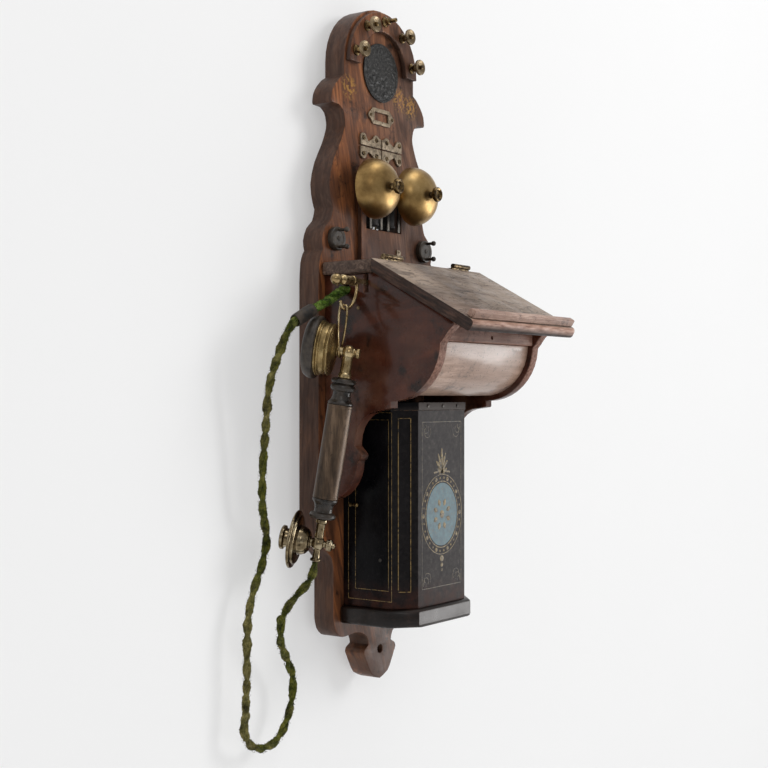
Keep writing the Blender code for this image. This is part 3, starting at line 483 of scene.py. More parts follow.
def board_wood():
    """Orange-brown figured wood, nearly black in its streaks, its side edges painted darker: partly their own
    duller tone, partly painted shade.
    """
    look = Look("board_wood", Coat_Weight=0.06, Coat_Roughness=0.22, Specular_IOR_Level=0.22)
    turn = (0, math.radians(-12), 0)
    rings = look.noise(17, (1, 1, 6), turn, 6, 0.62, 2.0)
    streak = look.noise(2.4, (1, 1, 22), turn, 4, 0.6)
    look.tone = look.ramp(rings, (0.30, (62, 37, 24)), (0.44, (102, 62, 39)), (0.57, (132, 80, 47)),
                          (0.70, (160, 102, 60)))
    look.lay(look.both(look.between("X", -0.050, 0.060), 0.75),
             look.ramp(rings, (0.34, (66, 46, 36)), (0.50, (102, 76, 61)), (0.68, (130, 103, 86))))
    look.lay(look.ramp(streak, (0.34, 0.55), (0.52, 0.0)), (58, 35, 24))
    look.lay(look.spots(70, (0.38, 0.7), (0.54, 0.0), detail=3), (66, 41, 29))
    look.lay(look.spots(16, (0.32, 0.85), (0.43, 0.0), detail=7, rough=0.7), (28, 18, 14))
    # Side faces painted darker grey-brown with vertical streaks: partly the edges' own duller tone, partly painted
    # shade.
    look.lay(look.both(look.but(look.facing("-Y", 0.3, 0.75)), 0.85, look.between("Z", -0.322, -0.305)),
             look.spots(5, (0.30, (44, 29, 22)), (0.52, (66, 47, 38)), (0.72, (86, 65, 53)),
                        stretch=(1, 1, 9), detail=5, warp=0.8))
    for x, z in ((-54, 261), (56, 258), (36, 262)):
        transfer = look.spots(3.2, (0.50, 0.0), (0.56, 0.85), detail=5)
        look.lay(look.both(look.near((x, -25, z), 15), transfer), (162, 118, 52))
    look.lay(look.both(look.edges(1.2), look.spots(6, (0.44, 0.0), (0.6, 0.9))), (142, 104, 76))
    look.lay(look.both(look.between("Z", -0.270, -0.305),
                       look.spots(9, (0.42, 0.0), (0.6, 0.7), detail=6), 0.6), (84, 66, 54))
    look.bump(look.noise(0.6, (1, 1, 20), turn, 2), 0.08).bump(streak, 0.12).bump(rings, 0.15)
    return look.out(look.spots(24, (0.3, 0.40), (0.7, 0.62), detail=5))


def cover_paint():
    """Black stoving paint on tin, its front painted grey, partly with dust and scuffs and partly as a painted
    sheen; chipped to brown along its corners.
    """
    look = Look("cover_paint", Specular_IOR_Level=0.08)
    cloud, front = look.noise(38, detail=5), look.facing("-Y", 0.75, 0.95)
    look.tone = look.ramp(cloud, (0.35, (7, 7, 9)), (0.62, (17, 16, 18)))
    look.lay(look.spots(0.9, (0.66, 0.0), (0.74, 0.35), detail=2), (80, 72, 66))
    # Front faces painted dusty grey: partly dust and scuffs, partly a painted sheen.
    look.lay(look.both(front, 0.85), look.spots(5, (0.36, (36, 32, 32)), (0.55, (52, 47, 46)),
                                                (0.70, (72, 66, 63)), detail=7, rough=0.7))
    look.lay(look.both(look.between("Z", -0.236, -0.262), look.spots(10, (0.40, 0.2), (0.6, 0.9), detail=6)),
             (58, 34, 27))
    look.lay(look.both(look.but(look.between("Z", -0.0675, -0.0685)), front, 0.6), (74, 66, 62))
    look.lay(look.both(look.edges(1.6), look.spots(3, (0.44, 0.0), (0.54, 0.9), detail=5)), (92, 72, 58))
    look.bump(look.noise(0.9, detail=2), 0.03).bump(cloud, 0.2)
    return look.out(look.mix(front, look.spots(7, (0.35, 0.16), (0.7, 0.34), detail=6), 0.5))


def lid_wood():
    """The writing lid: worn grey-brown on top, split along its grain, dark at its ends, its nose painted pale pink
    as a highlight.
    """
    look = Look("lid_wood", Specular_IOR_Level=0.25)
    rings = look.noise(4.6, (12, 1, 1), detail=6, rough=0.65, warp=0.6)
    look.tone = look.ramp(rings, (0.32, (62, 49, 41)), (0.48, (92, 77, 66)), (0.62, (118, 102, 89)))
    look.lay(look.spots(26, (0.40, 0.0), (0.58, 0.6), stretch=(2.2, 1, 1), detail=6, rough=0.6),
             (130, 114, 100))
    look.lay(look.both(look.between("X", -0.030, -0.060), look.between("Y", -0.150, -0.115),
                       look.spots(15, (0.40, 0.0), (0.42, 0.85), stretch=(3, 1, 1), detail=3)),
             (160, 141, 124))
    look.lay(look.both(look.between("X", -0.010, 0.080), 0.5), (166, 149, 134))
    cracks = look.spots(7, (0.45, 0.0), (0.465, 1.0), (0.485, 0.0), stretch=(5, 1, 1), detail=3, warp=0.3)
    look.lay(look.both(cracks, look.spots(22, (0.36, 0.0), (0.44, 1.0), stretch=(2, 1, 1))), (30, 22, 18))
    look.lay(look.spots(2.2, (0.32, 0.85), (0.42, 0.0), stretch=(3, 1, 1), detail=6, rough=0.7), (52, 40, 33))
    # Painted highlight: the front-facing nose is made pale pink.
    look.lay(look.facing("-Y", 0.55, 0.8),
             look.spots(3, (0.34, (122, 88, 72)), (0.5, (166, 130, 113)), (0.66, (194, 162, 146)),
                        stretch=(6, 1, 1), detail=6))
    for axis in ("X", "-X"):
        look.lay(look.facing(axis, 0.5, 0.8),
                 look.spots(2.4, (0.34, (30, 20, 16)), (0.52, (52, 36, 29)), (0.68, (76, 54, 44)),
                            stretch=(1, 7, 1), turn=(math.radians(29), 0, 0), detail=5))
    look.lay(look.facing("-Z", 0.3, 0.6), (44, 27, 20))
    look.lay(look.both(look.edges(1.0), 0.5), (112, 82, 66))
    look.bump(cracks, 0.25, 0.6).bump(rings, 0.15).bump(look.noise(0.5, (22, 1, 1)), 0.06)
    return look.out(look.spots(18, (0.35, 0.42), (0.65, 0.66), detail=6))


def panel_wood():
    """Deep red polished side panels, faded towards the back foot, dull on their front edges."""
    coat = 0.22
    look = Look("panel_wood", Coat_Weight=coat, Coat_Roughness=0.08, Specular_IOR_Level=0.2)
    rings = look.noise(24, (1, 4, 1), (math.radians(-10), 0, 0), 5, 0.6, 1.2)
    look.tone = look.ramp(rings, (0.30, (50, 24, 15)), (0.50, (68, 33, 21)), (0.70, (86, 44, 28)))
    look.lay(look.spots(1.6, (0.32, 0.3), (0.52, 0.0), stretch=(1, 1, 16)), (40, 20, 14))
    look.lay(look.both(look.between("Z", 0.020, -0.060), look.spots(42, (0.44, 0.0), (0.62, 0.7), detail=4)),
             (96, 66, 50))
    look.lay(look.spots(26, (0.32, 0.9), (0.42, 0.0), detail=6, at=(0.2, 0.1, 0)), (26, 15, 12))
    look.lay(look.both(look.facing("-Y", 0.3, 0.7), look.between("Z", -0.062, -0.030), 0.9),
             look.spots(3, (0.34, (96, 62, 48)), (0.5, (134, 96, 80)), (0.66, (160, 124, 108)), detail=6))
    look.lay(look.both(look.edges(1.4), look.spots(6, (0.40, 0.0), (0.6, 1.0))), (128, 88, 68))
    look.bump(look.noise(0.5, (1, 1, 18)), 0.02).bump(rings, 0.12)
    front = look.facing("-Y", 0.4, 0.8)
    return look.out(look.mix(front, look.spots(20, (0.3, 0.18), (0.7, 0.36), detail=5), 0.62),
                    look.mix(front, coat, 0.0))


def cord_cloth():
    """Green cotton braid gone olive and dusty, still bright near the telephone."""
    look = Look("cord_cloth", Sheen_Weight=0.08, Sheen_Roughness=0.5, Specular_IOR_Level=0.1, Roughness=0.92)
    cloud, thread = look.noise(7, detail=5), look.noise(0.7, detail=3)
    look.tone = look.ramp(cloud, (0.32, (38, 42, 12)), (0.50, (78, 82, 26)), (0.68, (116, 114, 48)))
    dusty = look.spots(34, (0.46, 0.0), (0.62, 0.7), detail=3)
    look.lay(look.mix(look.both(look.between("X", -0.184, -0.195), 0.75), dusty, 0.95),
             look.ramp(cloud, (0.32, (62, 57, 32)), (0.50, (108, 100, 60)), (0.68, (150, 139, 92))))
    look.lay(look.between("Z", 0.008, 0.030),
             look.ramp(cloud, (0.32, (40, 58, 14)), (0.50, (86, 116, 36)), (0.68, (150, 164, 86))))
    look.lay(look.ramp(thread, (0.34, 0.9), (0.50, 0.0)), (22, 25, 6))
    return look.bump(thread, 0.4).bump(look.noise(1.8, detail=4), 0.8).out()


def tube_cover():
    """Painted tin tube of the handset, scratched along its length."""
    look = Look("tube_cover", 0.5, Specular_IOR_Level=0.3)
    cloud, lines = look.noise(10, (1, 1, 4), detail=5), look.noise(0.8, (1, 1, 24), detail=3)
    look.tone = look.ramp(cloud, (0.34, (52, 42, 33)), (0.5, (82, 66, 52)), (0.66, (114, 94, 76)))
    look.lay(look.ramp(lines, (0.32, 0.6), (0.5, 0.0)), (42, 36, 32))
    look.lay(look.spots(5, (0.30, 0.9), (0.38, 0.0), detail=7, rough=0.7), (28, 24, 22))
    return look.bump(lines, 0.04).bump(look.noise(1.2), 0.05).out(look.ramp(cloud, (0.3, 0.30), (0.7, 0.48)))


def plaque_metal():
    """Cast black plaque, its finish flaked to grey."""
    look = Look("plaque_metal", 0.35)
    flakes = look.noise(2.6, detail=6, rough=0.7)
    look.tone = look.ramp(flakes, (0.36, (12, 12, 13)), (0.50, (40, 39, 38)), (0.66, (76, 74, 71)))
    look.lay(look.both(look.between("Z", 0.290, 0.272), look.between("X", 0.020, -0.010),
                       look.spots(4.5, (0.44, 1.0), (0.52, 0.0), detail=4)), (9, 10, 10))
    return look.bump(look.noise(1.6, detail=4), 0.3).out(look.ramp(flakes, (0.3, 0.28), (0.7, 0.5)))


def coil_cloth():
    """Dark cloth-covered wire, wound turn by turn."""
    look = Look("coil_cloth", Roughness=0.7)
    wound = look.bands(0.5, "Z", 0.3)
    look.tone = look.spots(5, (0.35, (16, 15, 16)), (0.65, (48, 44, 42)), detail=4)
    return look.lay(look.ramp(wound, (0.0, 0.5), (0.5, 0.0)), (8, 8, 9)).bump(wound, 0.2).out()


def plastic(name, dark, light, rough=(0.22, 0.42)):
    """Hard rubber or stiff cloth, specked, its corners rubbed brown."""
    look = Look(name, Coat_Weight=0.05, Coat_Roughness=0.15, Specular_IOR_Level=0.35)
    cloud = look.noise(8, detail=6)
    look.tone = look.ramp(cloud, (0.35, dark), (0.68, light))
    look.lay(look.spots(0.8, (0.66, 0.0), (0.74, 0.4), detail=2), (96, 88, 80))
    look.lay(look.both(look.edges(0.8), 0.45), (88, 74, 62))
    return look.bump(look.noise(1.4, detail=4), 0.06).out(look.ramp(cloud, (0.3, rough[0]), (0.7, rough[1])))


def paint(name, dark, light, gone, share=0.40, rough=0.45, metallic=0.0):
    """Painted or gilt decoration, rubbed away in places to what is under it."""
    look = Look(name, metallic, Roughness=rough)
    look.tone = look.spots(5, (0.34, dark), (0.64, light), detail=5)
    look.lay(look.spots(2.6, (share - 0.04, 1.0), (share + 0.04, 0.0), detail=6, rough=0.7), gone)
    return look.bump(look.noise(1.0, detail=4), 0.05).out()


BOARD_WOOD = board_wood()
PANEL_WOOD = panel_wood()
LID_WOOD = lid_wood()
FRONT_WOOD = wood("front_wood", (146, 116, 98), (176, 145, 126), (198, 168, 150), (0.36, 0.46), 9, 0.35,
                  (176, 140, 118), specks=0.95, wear=0.6, gloss=0.5)
LOCK_WOOD = wood("lock_wood", (116, 80, 66), (160, 120, 104), (186, 150, 132), (0.5, 0.6), 9, 0.0,
                 (150, 116, 98), specks=0.8, wear=0.6, gloss=0.15)
RAIL_WOOD = wood("rail_wood", (128, 98, 84), (178, 148, 132), (206, 178, 162), (0.42, 0.6), 5, 0.1,
                 (176, 148, 130), specks=0.7)
CAP_WOOD = wood("cap_wood", (52, 39, 33), (90, 71, 60), (122, 101, 88), (0.32, 0.5), 6, 0.05, (104, 80, 66))
BASE_WOOD = wood("base_wood", (14, 9, 7), (28, 19, 15), (50, 36, 30), (0.26, 0.42), 8, 0.1, (104, 78, 64),
                 gloss=0.25, front=(44, 34, 29))
COVER_PAINT = cover_paint()
GONG_BRASS = metal("gong_brass", (124, 98, 60), (158, 129, 82), (184, 154, 104), (0.30, 0.42), 26, 0.02,
                   tarnish=(116, 92, 58), share=0.30)
SHELL_BRASS = metal("shell_brass", (104, 86, 54), (146, 124, 82), (182, 160, 114), (0.22, 0.36), 14, 0.015,
                    metallic=0.8, tarnish=(88, 70, 46), rub=(206, 188, 140), share=0.32)
BRASS = metal("aged_brass", (66, 52, 34), (112, 92, 60), (154, 130, 90), (0.24, 0.44), 6, 0.03,
              tarnish=(54, 42, 29), rub=(186, 164, 118), share=0.42)
DULL_BRASS = metal("dull_brass", (70, 58, 42), (116, 98, 72), (156, 136, 104), (0.36, 0.56), 5, 0.04,
                   tarnish=(40, 32, 25), rub=(140, 122, 92), share=0.42)
HANDSET_METAL = metal("worn_nickel", (122, 101, 68), (166, 143, 102), (202, 184, 146), (0.14, 0.28), 9, 0.012,
                      metallic=0.88, tarnish=(84, 66, 40), rub=(222, 210, 180), share=0.36)
DARK_NICKEL = metal("dark_nickel", (84, 73, 54), (130, 115, 90), (180, 167, 140), (0.12, 0.26), 9, 0.01,
                    tarnish=(60, 50, 36), rub=(206, 194, 166), share=0.36)
NUT_BRASS = metal("nut_brass", (92, 79, 59), (132, 115, 89), (168, 150, 121), (0.28, 0.42), 14, 0.01,
                  metallic=0.85, tarnish=(70, 58, 42), share=0.34)
PLATE_NICKEL = metal("plate_nickel", (98, 85, 68), (140, 124, 102), (168, 151, 128), (0.46, 0.60), 5, 0.03,
                     metallic=0.45, tarnish=(84, 70, 54), share=0.38)
IRON = metal("dark_iron", (38, 36, 35), (72, 69, 66), (104, 100, 95), (0.35, 0.6), 7, 0.05,
             tarnish=(74, 48, 34))
IRON_BRIGHT = metal("bright_iron", (70, 67, 64), (106, 102, 97), (140, 136, 129), (0.25, 0.4), 7, 0.03)
EBONITE = plastic("ebonite", (22, 19, 16), (58, 50, 43))
SOCKET_EBONITE = plastic("socket_ebonite", (30, 26, 22), (72, 62, 52), (0.35, 0.55))
CAP_EBONITE = plastic("cap_ebonite", (34, 29, 25), (74, 66, 58), (0.34, 0.55))
SLEEVE_CLOTH = plastic("sleeve_cloth", (22, 20, 18), (66, 56, 47), (0.6, 0.8))
TUBE_COVER = tube_cover()
PLAQUE = plaque_metal()
COIL_CLOTH = coil_cloth()
CORD_CLOTH = cord_cloth()
GOLD_LINE = paint("gold_line", (112, 88, 48), (150, 124, 74), (24, 22, 20), 0.45, 0.42, 0.2)
FADED_LINE = paint("faded_line", (78, 69, 52), (108, 96, 70), (52, 48, 46), 0.48, 0.5)
GILT = paint("gilt", (92, 78, 50), (132, 114, 76), (56, 51, 45), 0.46, 0.5, 0.1)
BLUE = paint("blue_enamel", (36, 69, 80), (56, 93, 101), (68, 71, 62), 0.40, 0.5)
PAPER = paint("cell_paper", (146, 120, 78), (186, 160, 112), (96, 74, 46), 0.36, 0.7)


# ---------------------------------------------------------------- cord

CORD_ROUTE = [
    (-88, -52, 51), (-101, -52.5, 49), (-115, -54, 43.5), (-134, -56, 35.5), (-153, -56.5, 28),
    (-164, -55, 22.5), (-175, -53, 16.5), (-181.5, -48.5, 5), (-185, -44, -9), (-188, -38, -28),
    (-188, -31, -50), (-186, -27, -75), (-184.5, -23, -102), (-183.5, -20, -130), (-180, -17, -157),
    (-171, -12, -175), (-166, -10, -193), (-173, -11, -214), (-186, -12, -236), (-194, -12, -260),
    (-196.5, -12, -290), (-196.5, -12, -320), (-198.5, -12, -350), (-200, -12, -370), (-189, -12, -385),
    (-169, -12, -390), (-150, -12, -384), (-137, -12, -368), (-130, -12.5, -348), (-131, -13.5, -327),
    (-142, -15, -309), (-154, -18, -292), (-160, -23, -273), (-160, -30, -257), (-154, -38, -244),
    (-147, -45, -233), (-142.8, -48.8, -222), (-141.2, -49.7, -212.5),
]
LAY = 40              # one full twist of the two strands
STRAND = 2.3          # radius of a strand, before its lumps
STRAND_LIMIT = 3.5
FIBRES = 5200


def make_cord():
    """Two braided strands twisted together, frayed where they leave the panel."""
    line = [Vector(p) for p in flow(CORD_ROUTE, 30)]
    steps = [0.0]
    for a, b in zip(line, line[1:]):
        steps.append(steps[-1] + (b - a).length)
    length = steps[-1]
    form = Form()
    knots = [random.uniform(90, length - 60) for _ in range(9)]
    frames = framed(line)
    for strand, phase in enumerate((0.0, math.pi)):
        rows = []
        for (here, across, other), run in zip(frames, steps):
            angle = phase + 2 * math.pi * run / LAY + 1.6 * noise.noise(Vector((run * 0.02, 5.0, 0)))
            offset = 1.75 if 14 < run < length - 8 else 1.5
            offset += 0.3 * noise.noise(Vector((run * 0.035, 2.0, 0)))
            middle = here + offset * (across * math.cos(angle) + other * math.sin(angle))
            fuzz = 1.0 + 0.26 * noise.noise(Vector((run * 0.13, strand * 9.0, 0)))
            fuzz += sum(0.30 * math.exp(-((run - knot) / 3.5) ** 2) for knot in knots)
            frayed = 0.45 * max(0.0, 1 - abs(run - 34) / 26)
            row = []
            for turn in turns(16):
                x, y = math.cos(turn), math.sin(turn)
                lump = 1 + 0.30 * noise.noise(Vector((run * 0.5, 2.2 * x, 2.2 * y + strand * 5)))
                lump += 0.34 * noise.noise(Vector((run * 1.1, 4.5 * x, 4.5 * y + strand * 7)))
                reach = min((STRAND + frayed) * fuzz * lump, STRAND_LIMIT)
                row.append(middle + reach * (across * x + other * y))
            rows.append(form.row(row))
        form.skin([form.row([frames[0][0]]), *rows, form.row([frames[-1][0]])])
    # Small loops where a thread has pulled out.
    for share in (0.255, 0.43, 0.60, 0.87):
        here, across, other = frames[int(share * len(frames))]
        along = across.cross(other)
        side = (across * math.cos(share * 40) + other * math.sin(share * 40))
        form.tube([here + along * (-4.5 + 9 * t) + side * (2.6 + 3.1 * math.sin(math.pi * t))
                   for t in (n / 10 for n in range(11))], 1.2, 8)
    # Loose cotton ends, thickest on the frayed stretch.
    for _ in range(FIBRES):
        run = random.random() ** 2.2 * 110 + 12 if random.random() < 0.35 else random.uniform(12, length - 6)
        here, across, other = frames[min(range(0, len(steps), 4), key=lambda n: abs(steps[n] - run))]
        turn = random.uniform(0, 2 * math.pi)
        out = across * math.cos(turn) + other * math.sin(turn)
        along = across.cross(other)
        root = here + out * 3.3 + along * random.uniform(-2, 2)
        reach = random.uniform(0.8, 2.7)
        tip = root + out * reach * 0.8 + along * random.uniform(-3, 3) + across * random.uniform(-1, 1)
        side = along.cross(out) * 0.19
        middle = (root + tip) / 2 + out * 0.4
        corners = form.row((root - side, root + side, middle + side * 0.8, middle - side * 0.8, tip,
                            root + along * 0.2))
        form.faces(corners, (0, 1, 2, 3), (3, 2, 4), (1, 5, 2), (5, 0, 3), (5, 3, 4, 2))
    cord = form.done("cord_braid", CORD_CLOTH, None, SLOTS["cord"])
    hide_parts("cord")
    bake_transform(cord)

    start, end = Vector(CORD_ROUTE[4]), Vector(CORD_ROUTE[6])
    long = (end - start).length
    sleeve = Form().lathe([(5.1, 0), (5.9, 0), (6.3, 3), (6.5, long - 3), (6.3, long), (5.1, long)],
                          start, end - start, 40, 0.6, ring=True)
    for corner in sleeve.shape.verts:
        spot = corner.co * 0.16
        corner.co += 0.55 * Vector([noise.noise(spot + Vector((0, 0, shift))) for shift in (0, 10, 20)])
    sleeve = sleeve.done("cord_sleeve_tube", SLEEVE_CLOTH, None, SLOTS["cord_sleeve"])
    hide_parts("cord_sleeve")
    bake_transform(sleeve)


make_cord()


# ---------------------------------------------------------------- backboard and what is on it

ON_BOARD = -25.3


def make_board():
    for node, bevel in (("backboard", 1.1), ("terminal_arch", 1.0), ("ringer_surround", 0.7)):
        refined(node, BOARD_WOOD, bevel)
    screw = Form().screw((0, -17, -319), FORWARD, 3.9, 0.4, 1.6)
    screw.lathe([(0, 0), (1.8, 0), (1.8, 14), (0, 14)], (0, -17, -319), (0, 1, 0), 20)
    screw.done("wall_screw", IRON, slot="iron")
    plate = Form().slab(eased([(22, 88), (29, 88), (29, 101), (22, 101)], 0.8, True), -31.6, -30.2)
    plate.screw((25.5, -31.5, 98.5), FORWARD, 1.2).screw((25.5, -31.5, 90.5), FORWARD, 1.2, 1.4)
    plate.done("surround_plate", PLATE_NICKEL, slot="nickel")


def make_plaque():
    """A cast disc with a rim and a worn wreath of leaves round a low boss."""
    form, rows = Form(), []
    rings, steps, rim = 60, 200, 30.5
    turn = aimed((0, ON_BOARD, 285), FORWARD)
    for i in range(rings + 1):
        radius = 30.4 * i / rings
        row = []
        for angle in turns(steps) if i else [0]:
            x, y = radius * math.cos(angle), radius * math.sin(angle)
            rough = noise.noise(Vector((x * 0.55, y * 0.55, 1)))
            rough += 0.5 * noise.noise(Vector((x * 1.3, y * 1.3, 4)))
            height = 0.75 + 0.10 * rough
            low = max(0.0, min(1.0, (4 - y - 0.4 * x) / 14))
            height += low * 0.75 * noise.noise(Vector((x * 0.22, y * 0.22, 9)))
            if radius > 28:
                height = 1.35
            elif 19 < radius < 27:
                leaves = max(0.0, math.sin(22 * angle + radius * 0.8))
                height += 0.3 * leaves * math.sin((radius - 19) / 8 * math.pi)
            elif radius < 16:
                height += 0.4 * (1 - radius / 16)
            row.append(turn @ Vector((x, y, max(0.2, min(height, 1.85)))))
        rows.append(form.row(row))
    for height in (0.9, 0):
        rows.append(form.row(turn @ Vector((rim * math.cos(a), rim * math.sin(a), height))
                             for a in turns(steps)))
    rows.append(form.row([turn @ Vector((0, 0, 0))]))
    form.skin(rows).done("plaque", PLAQUE, node="medallion_disc")


def make_terminals():
    for place, angle in {"far_left": 77, "left": 38, "middle": 0, "right": -38, "far_right": -77}.items():
        seat = (-51 * math.sin(math.radians(angle)), -31.3, 287 + 51 * math.cos(math.radians(angle)))
        tip = 14.7 if place == "middle" else 13.6
        post = [(0, 0), (5.6, 0), (5.6, 1.2), (3.6, 2.4), (3.6, 6.2), (2.1, 6.8), (2.1, tip), (0, tip + 0.8)]
        form = Form().lathe(post, seat, FORWARD, 40, 0.3)
        form.done("binding_post_" + place, BRASS, node="terminal_post_" + place)
        if place == "middle":
            continue
        nut = [(4.4, 7.6), (6.4, 8.4), (8.0, 9.3), (8.2, 9.8), (8.2, 11.6), (7.4, 12.6), (5.2, 11.4),
               (2.35, 11.0), (2.35, 7.6)]
        form = Form().lathe(nut, seat, FORWARD, 144, 0.3, ring=True, knurl=(9.5, 11.9, 36, 0.28))
        form.done("knurled_nut_" + place, NUT_BRASS, node="terminal_nut_" + place)


def make_fittings():
    refined("name_card_frame", PLATE_NICKEL, 0.35)
    screws = Form()
    for x in (-19.2, 19.2):
        screws.screw((x, ON_BOARD - 1.8, 238.5), FORWARD, 1.7, x)
    for row in (1, -1):
        for x in (-32, -9.2, 9.2, 32):
            screws.screw((x, ON_BOARD - 2.0, 204.5 + row * 8.2), FORWARD, 2.5, x * 0.7 + row)
    screws.done("plate_screws", DULL_BRASS, slot="brass")
    for row in ("upper", "lower"):
        for side in ("left", "right"):
            refined(f"arrester_plate_{row}_{side}", PLATE_NICKEL, 0.35)
    for side, x in (("left", -78.4), ("right", 78.4)):
        base = Form().lathe([(0, 0), (12, 0), (12, 4.6), (11, 5.8), (7.4, 6.1), (7.0, 5.7), (0, 5.7)],
                            (x, ON_BOARD, 104), FORWARD, 64, 0.4)
        for offset in (-8.5, 8.5):
            base.lathe([(0, 3), (1.6, 3), (1.6, 13), (2.5, 14.0), (2.7, 15.0), (2.6, 16.4), (1.6, 17.4),
                        (0, 17.8)], (x, ON_BOARD, 104 + offset), FORWARD, 28, 0.4)
        base.screw((x, ON_BOARD - 5.6, 104), FORWARD, 2.6, 0.9)
        base.done("socket_" + side, SOCKET_EBONITE, node="plug_socket_" + side)


make_board()
make_plaque()
make_terminals()
make_fittings()


# ---------------------------------------------------------------- ringer

def make_ringer():
    magnet = Form().box((-26, -34, 160.1), (26, -3, 164))
    for x in (-14.5, 14.5):
        magnet.lathe([(0, 0), (3.5, 0), (3.5, 3), (10, 3), (10, 5), (9, 5), (9, 37), (10, 37), (10, 40.5),
                      (0, 40.5)], (x, -22, 120.5), UP, 48, 0.2)
    magnet.done("ringer_coils", COIL_CLOTH, node="ringer_magnet")
    bars = Form()
    for x in (-25.2, -6.2, 6.2, 25.2):
        bar = [(x - 1.7, 119.5), (x + 1.7, 119.5), (x + 1.7, 159.9), (x - 1.7, 159.9)]
        bars.slab(eased(bar, 0.6, True), -31.6, -30.2)
    bars.done("coil_bars", IRON_BRIGHT, slot="iron")
    refined("ringer_hammer", BRASS, 0.0)
    for side, x in (("left", -35.5), ("right", 35.5)):
        outer, inner = ([(wide * math.cos(a) ** 0.75, tall * math.sin(a)) for a in
                         (math.radians(84) * i / steps for i in range(steps + 1))]
                        for wide, tall, steps in ((31, 24, 40), (29.2, 22.2, 24)))
        gong = Form().lathe([*outer, (2.3, 24), (2.3, 22.2), *inner[::-1]], (x, -42, 158), FORWARD, 128, 0,
                            ring=True)
        gong.done("gong_" + side, GONG_BRASS, node="bell_gong_" + side, sharp=30)
        crown = 24 + 42 - 30.6
        post = [(0, 0), (3.6, 0), (3.6, 2), (2.8, 3), (2.8, 27), (4.6, 29), (4.6, crown - 2.1),
                (1.9, crown - 2.1), (1.9, crown + 0.3), (3.8, crown + 0.3), (3.0, crown + 2.5), (3.2, crown + 4.5),
                (7.0, crown + 5.2), (7.7, crown + 6.2), (7.7, crown + 8.8), (6.6, crown + 10),
                (4.4, crown + 9.2), (3.8, crown + 7.4), (0, crown + 7.4)]
        form = Form().lathe(post, (x, -30.6, 158), FORWARD, 128, 0.5,
                            knurl=(crown + 6.3, crown + 8.7, 32, 0.22))
        form.done("gong_post_" + side, BRASS, node="bell_post_" + side)


make_ringer()


# ---------------------------------------------------------------- desk, lid and magneto

def make_desk():
    for node, look, bevel in (
            ("desk_cap", CAP_WOOD, 0.0), ("side_panel_left", PANEL_WOOD, 1.2),
            ("side_panel_right", PANEL_WOOD, 1.2), ("curved_front", FRONT_WOOD, 0.5),
            ("lock_rail", LOCK_WOOD, 0.0), ("desk_floor", CAP_WOOD, 0.4), ("desk_lid", LID_WOOD, 0.7),
            ("paper_rail", RAIL_WOOD, 1.3), ("lid_hinge_left", DULL_BRASS, 0.2),
            ("lid_hinge_right", DULL_BRASS, 0.2)):
        refined(node, look, bevel)
    pins = Form().screw((-94, -66.4, 32.2), LEFT, 2.0, 0.3, 0.5).screw((-94, -41, 57), LEFT, 2.0, 1.3, 0.5)
    pins.done("panel_screws", DULL_BRASS, slot="brass")


def make_works():
    for node, look, bevel in (
            ("magneto_frame", BRASS, 0.4), ("magneto_magnets", IRON, 0.5), ("magneto_armature", IRON, 0.0),
            ("crank_shaft", BRASS, 0.0), ("crank_arm", HANDSET_METAL, 0.7), ("hook_bracket", BRASS, 0.5)):
        refined(node, look, bevel)
    turn = math.radians(66)
    end = (0, -100 + 49.2 * math.cos(turn), 49.2 * math.sin(turn))
    profile = flow([(5.5, 107), (7.5, 108), (8, 113), (6.4, 119), (7.2, 127), (9.2, 136), (8.6, 142),
                    (5.5, 145.6)], 5)
    handle = Form().lathe([*profile, (2.9, 145.6), (2.9, 107)], end, RIGHT, 64, 0.2, ring=True)
    handle.done("crank_grip_wood", EBONITE, node="crank_handle")


HOOK_LINE = [(-108.5, 57), (-108.8, 49), (-111.5, 41), (-116, 34.5), (-122, 30.3), (-128, 29), (-132.8, 31.5),
             (-135, 37)]


def make_hook():
    form = Form().box((-113, -77.1, 54.5), (-57, -74.1, 59.5))
    form.slab([*arc(-55, 57, 3.6, 90, 270, 10), *arc(-55, 57, 2.0, 270, 90, 10)], -77.1, -74.1)
    form.slab([*arc(-55, 57, 3.6, -90, 90, 10), *arc(-55, 57, 2.0, 90, -90, 10)], -77.1, -74.1)
    form.lathe([(0, 0), (3.4, 0), (4.2, 2), (5.1, 3), (5.1, 6), (4.6, 6.6), (4.6, 17.4), (5.1, 18), (5.1, 21),
                (4.2, 22), (2.8, 24), (2.8, 25.5), (4.9, 28), (5.5, 30.5), (4.6, 33.5), (2.6, 35.6), (0, 36.2)],
               (-111, -75.6, 57), LEFT, 56, 0.7)
    hook = [(x, -75.6, z) for x, z in flow(HOOK_LINE, 8)]
    form.tube(hook, lambda t: 1.6 * min(1.0, max(0.05, (1 - t) / 0.03) ** 0.5), 16)
    form.done("hook_arm", HANDSET_METAL, node="hook_lever")


make_desk()
make_works()
make_hook()


# ---------------------------------------------------------------- handset

EAR_YOKE = Vector((-127.0, -79.3, -12.2))
MOUTH_YOKE = Vector((-140.0, -52.5, -194.7))
FACE = Vector((-0.431, 0.894, 0.127))


def handset_place():
    """Origin at the ear yoke, +X the way the receiver faces, +Z up along the handle."""
    up = (EAR_YOKE - MOUTH_YOKE).normalized()
    face = (FACE - FACE.dot(up) * up).normalized()
    turn = Matrix((face, up.cross(face), up)).transposed().to_4x4()
    return Matrix.Translation(EAR_YOKE) @ turn


def ball(radius, steps=28):
    """Profile of a ball, bottom to top."""
    return [(radius * math.sin(math.pi * i / steps), -radius * math.cos(math.pi * i / steps))
            for i in range(steps + 1)]


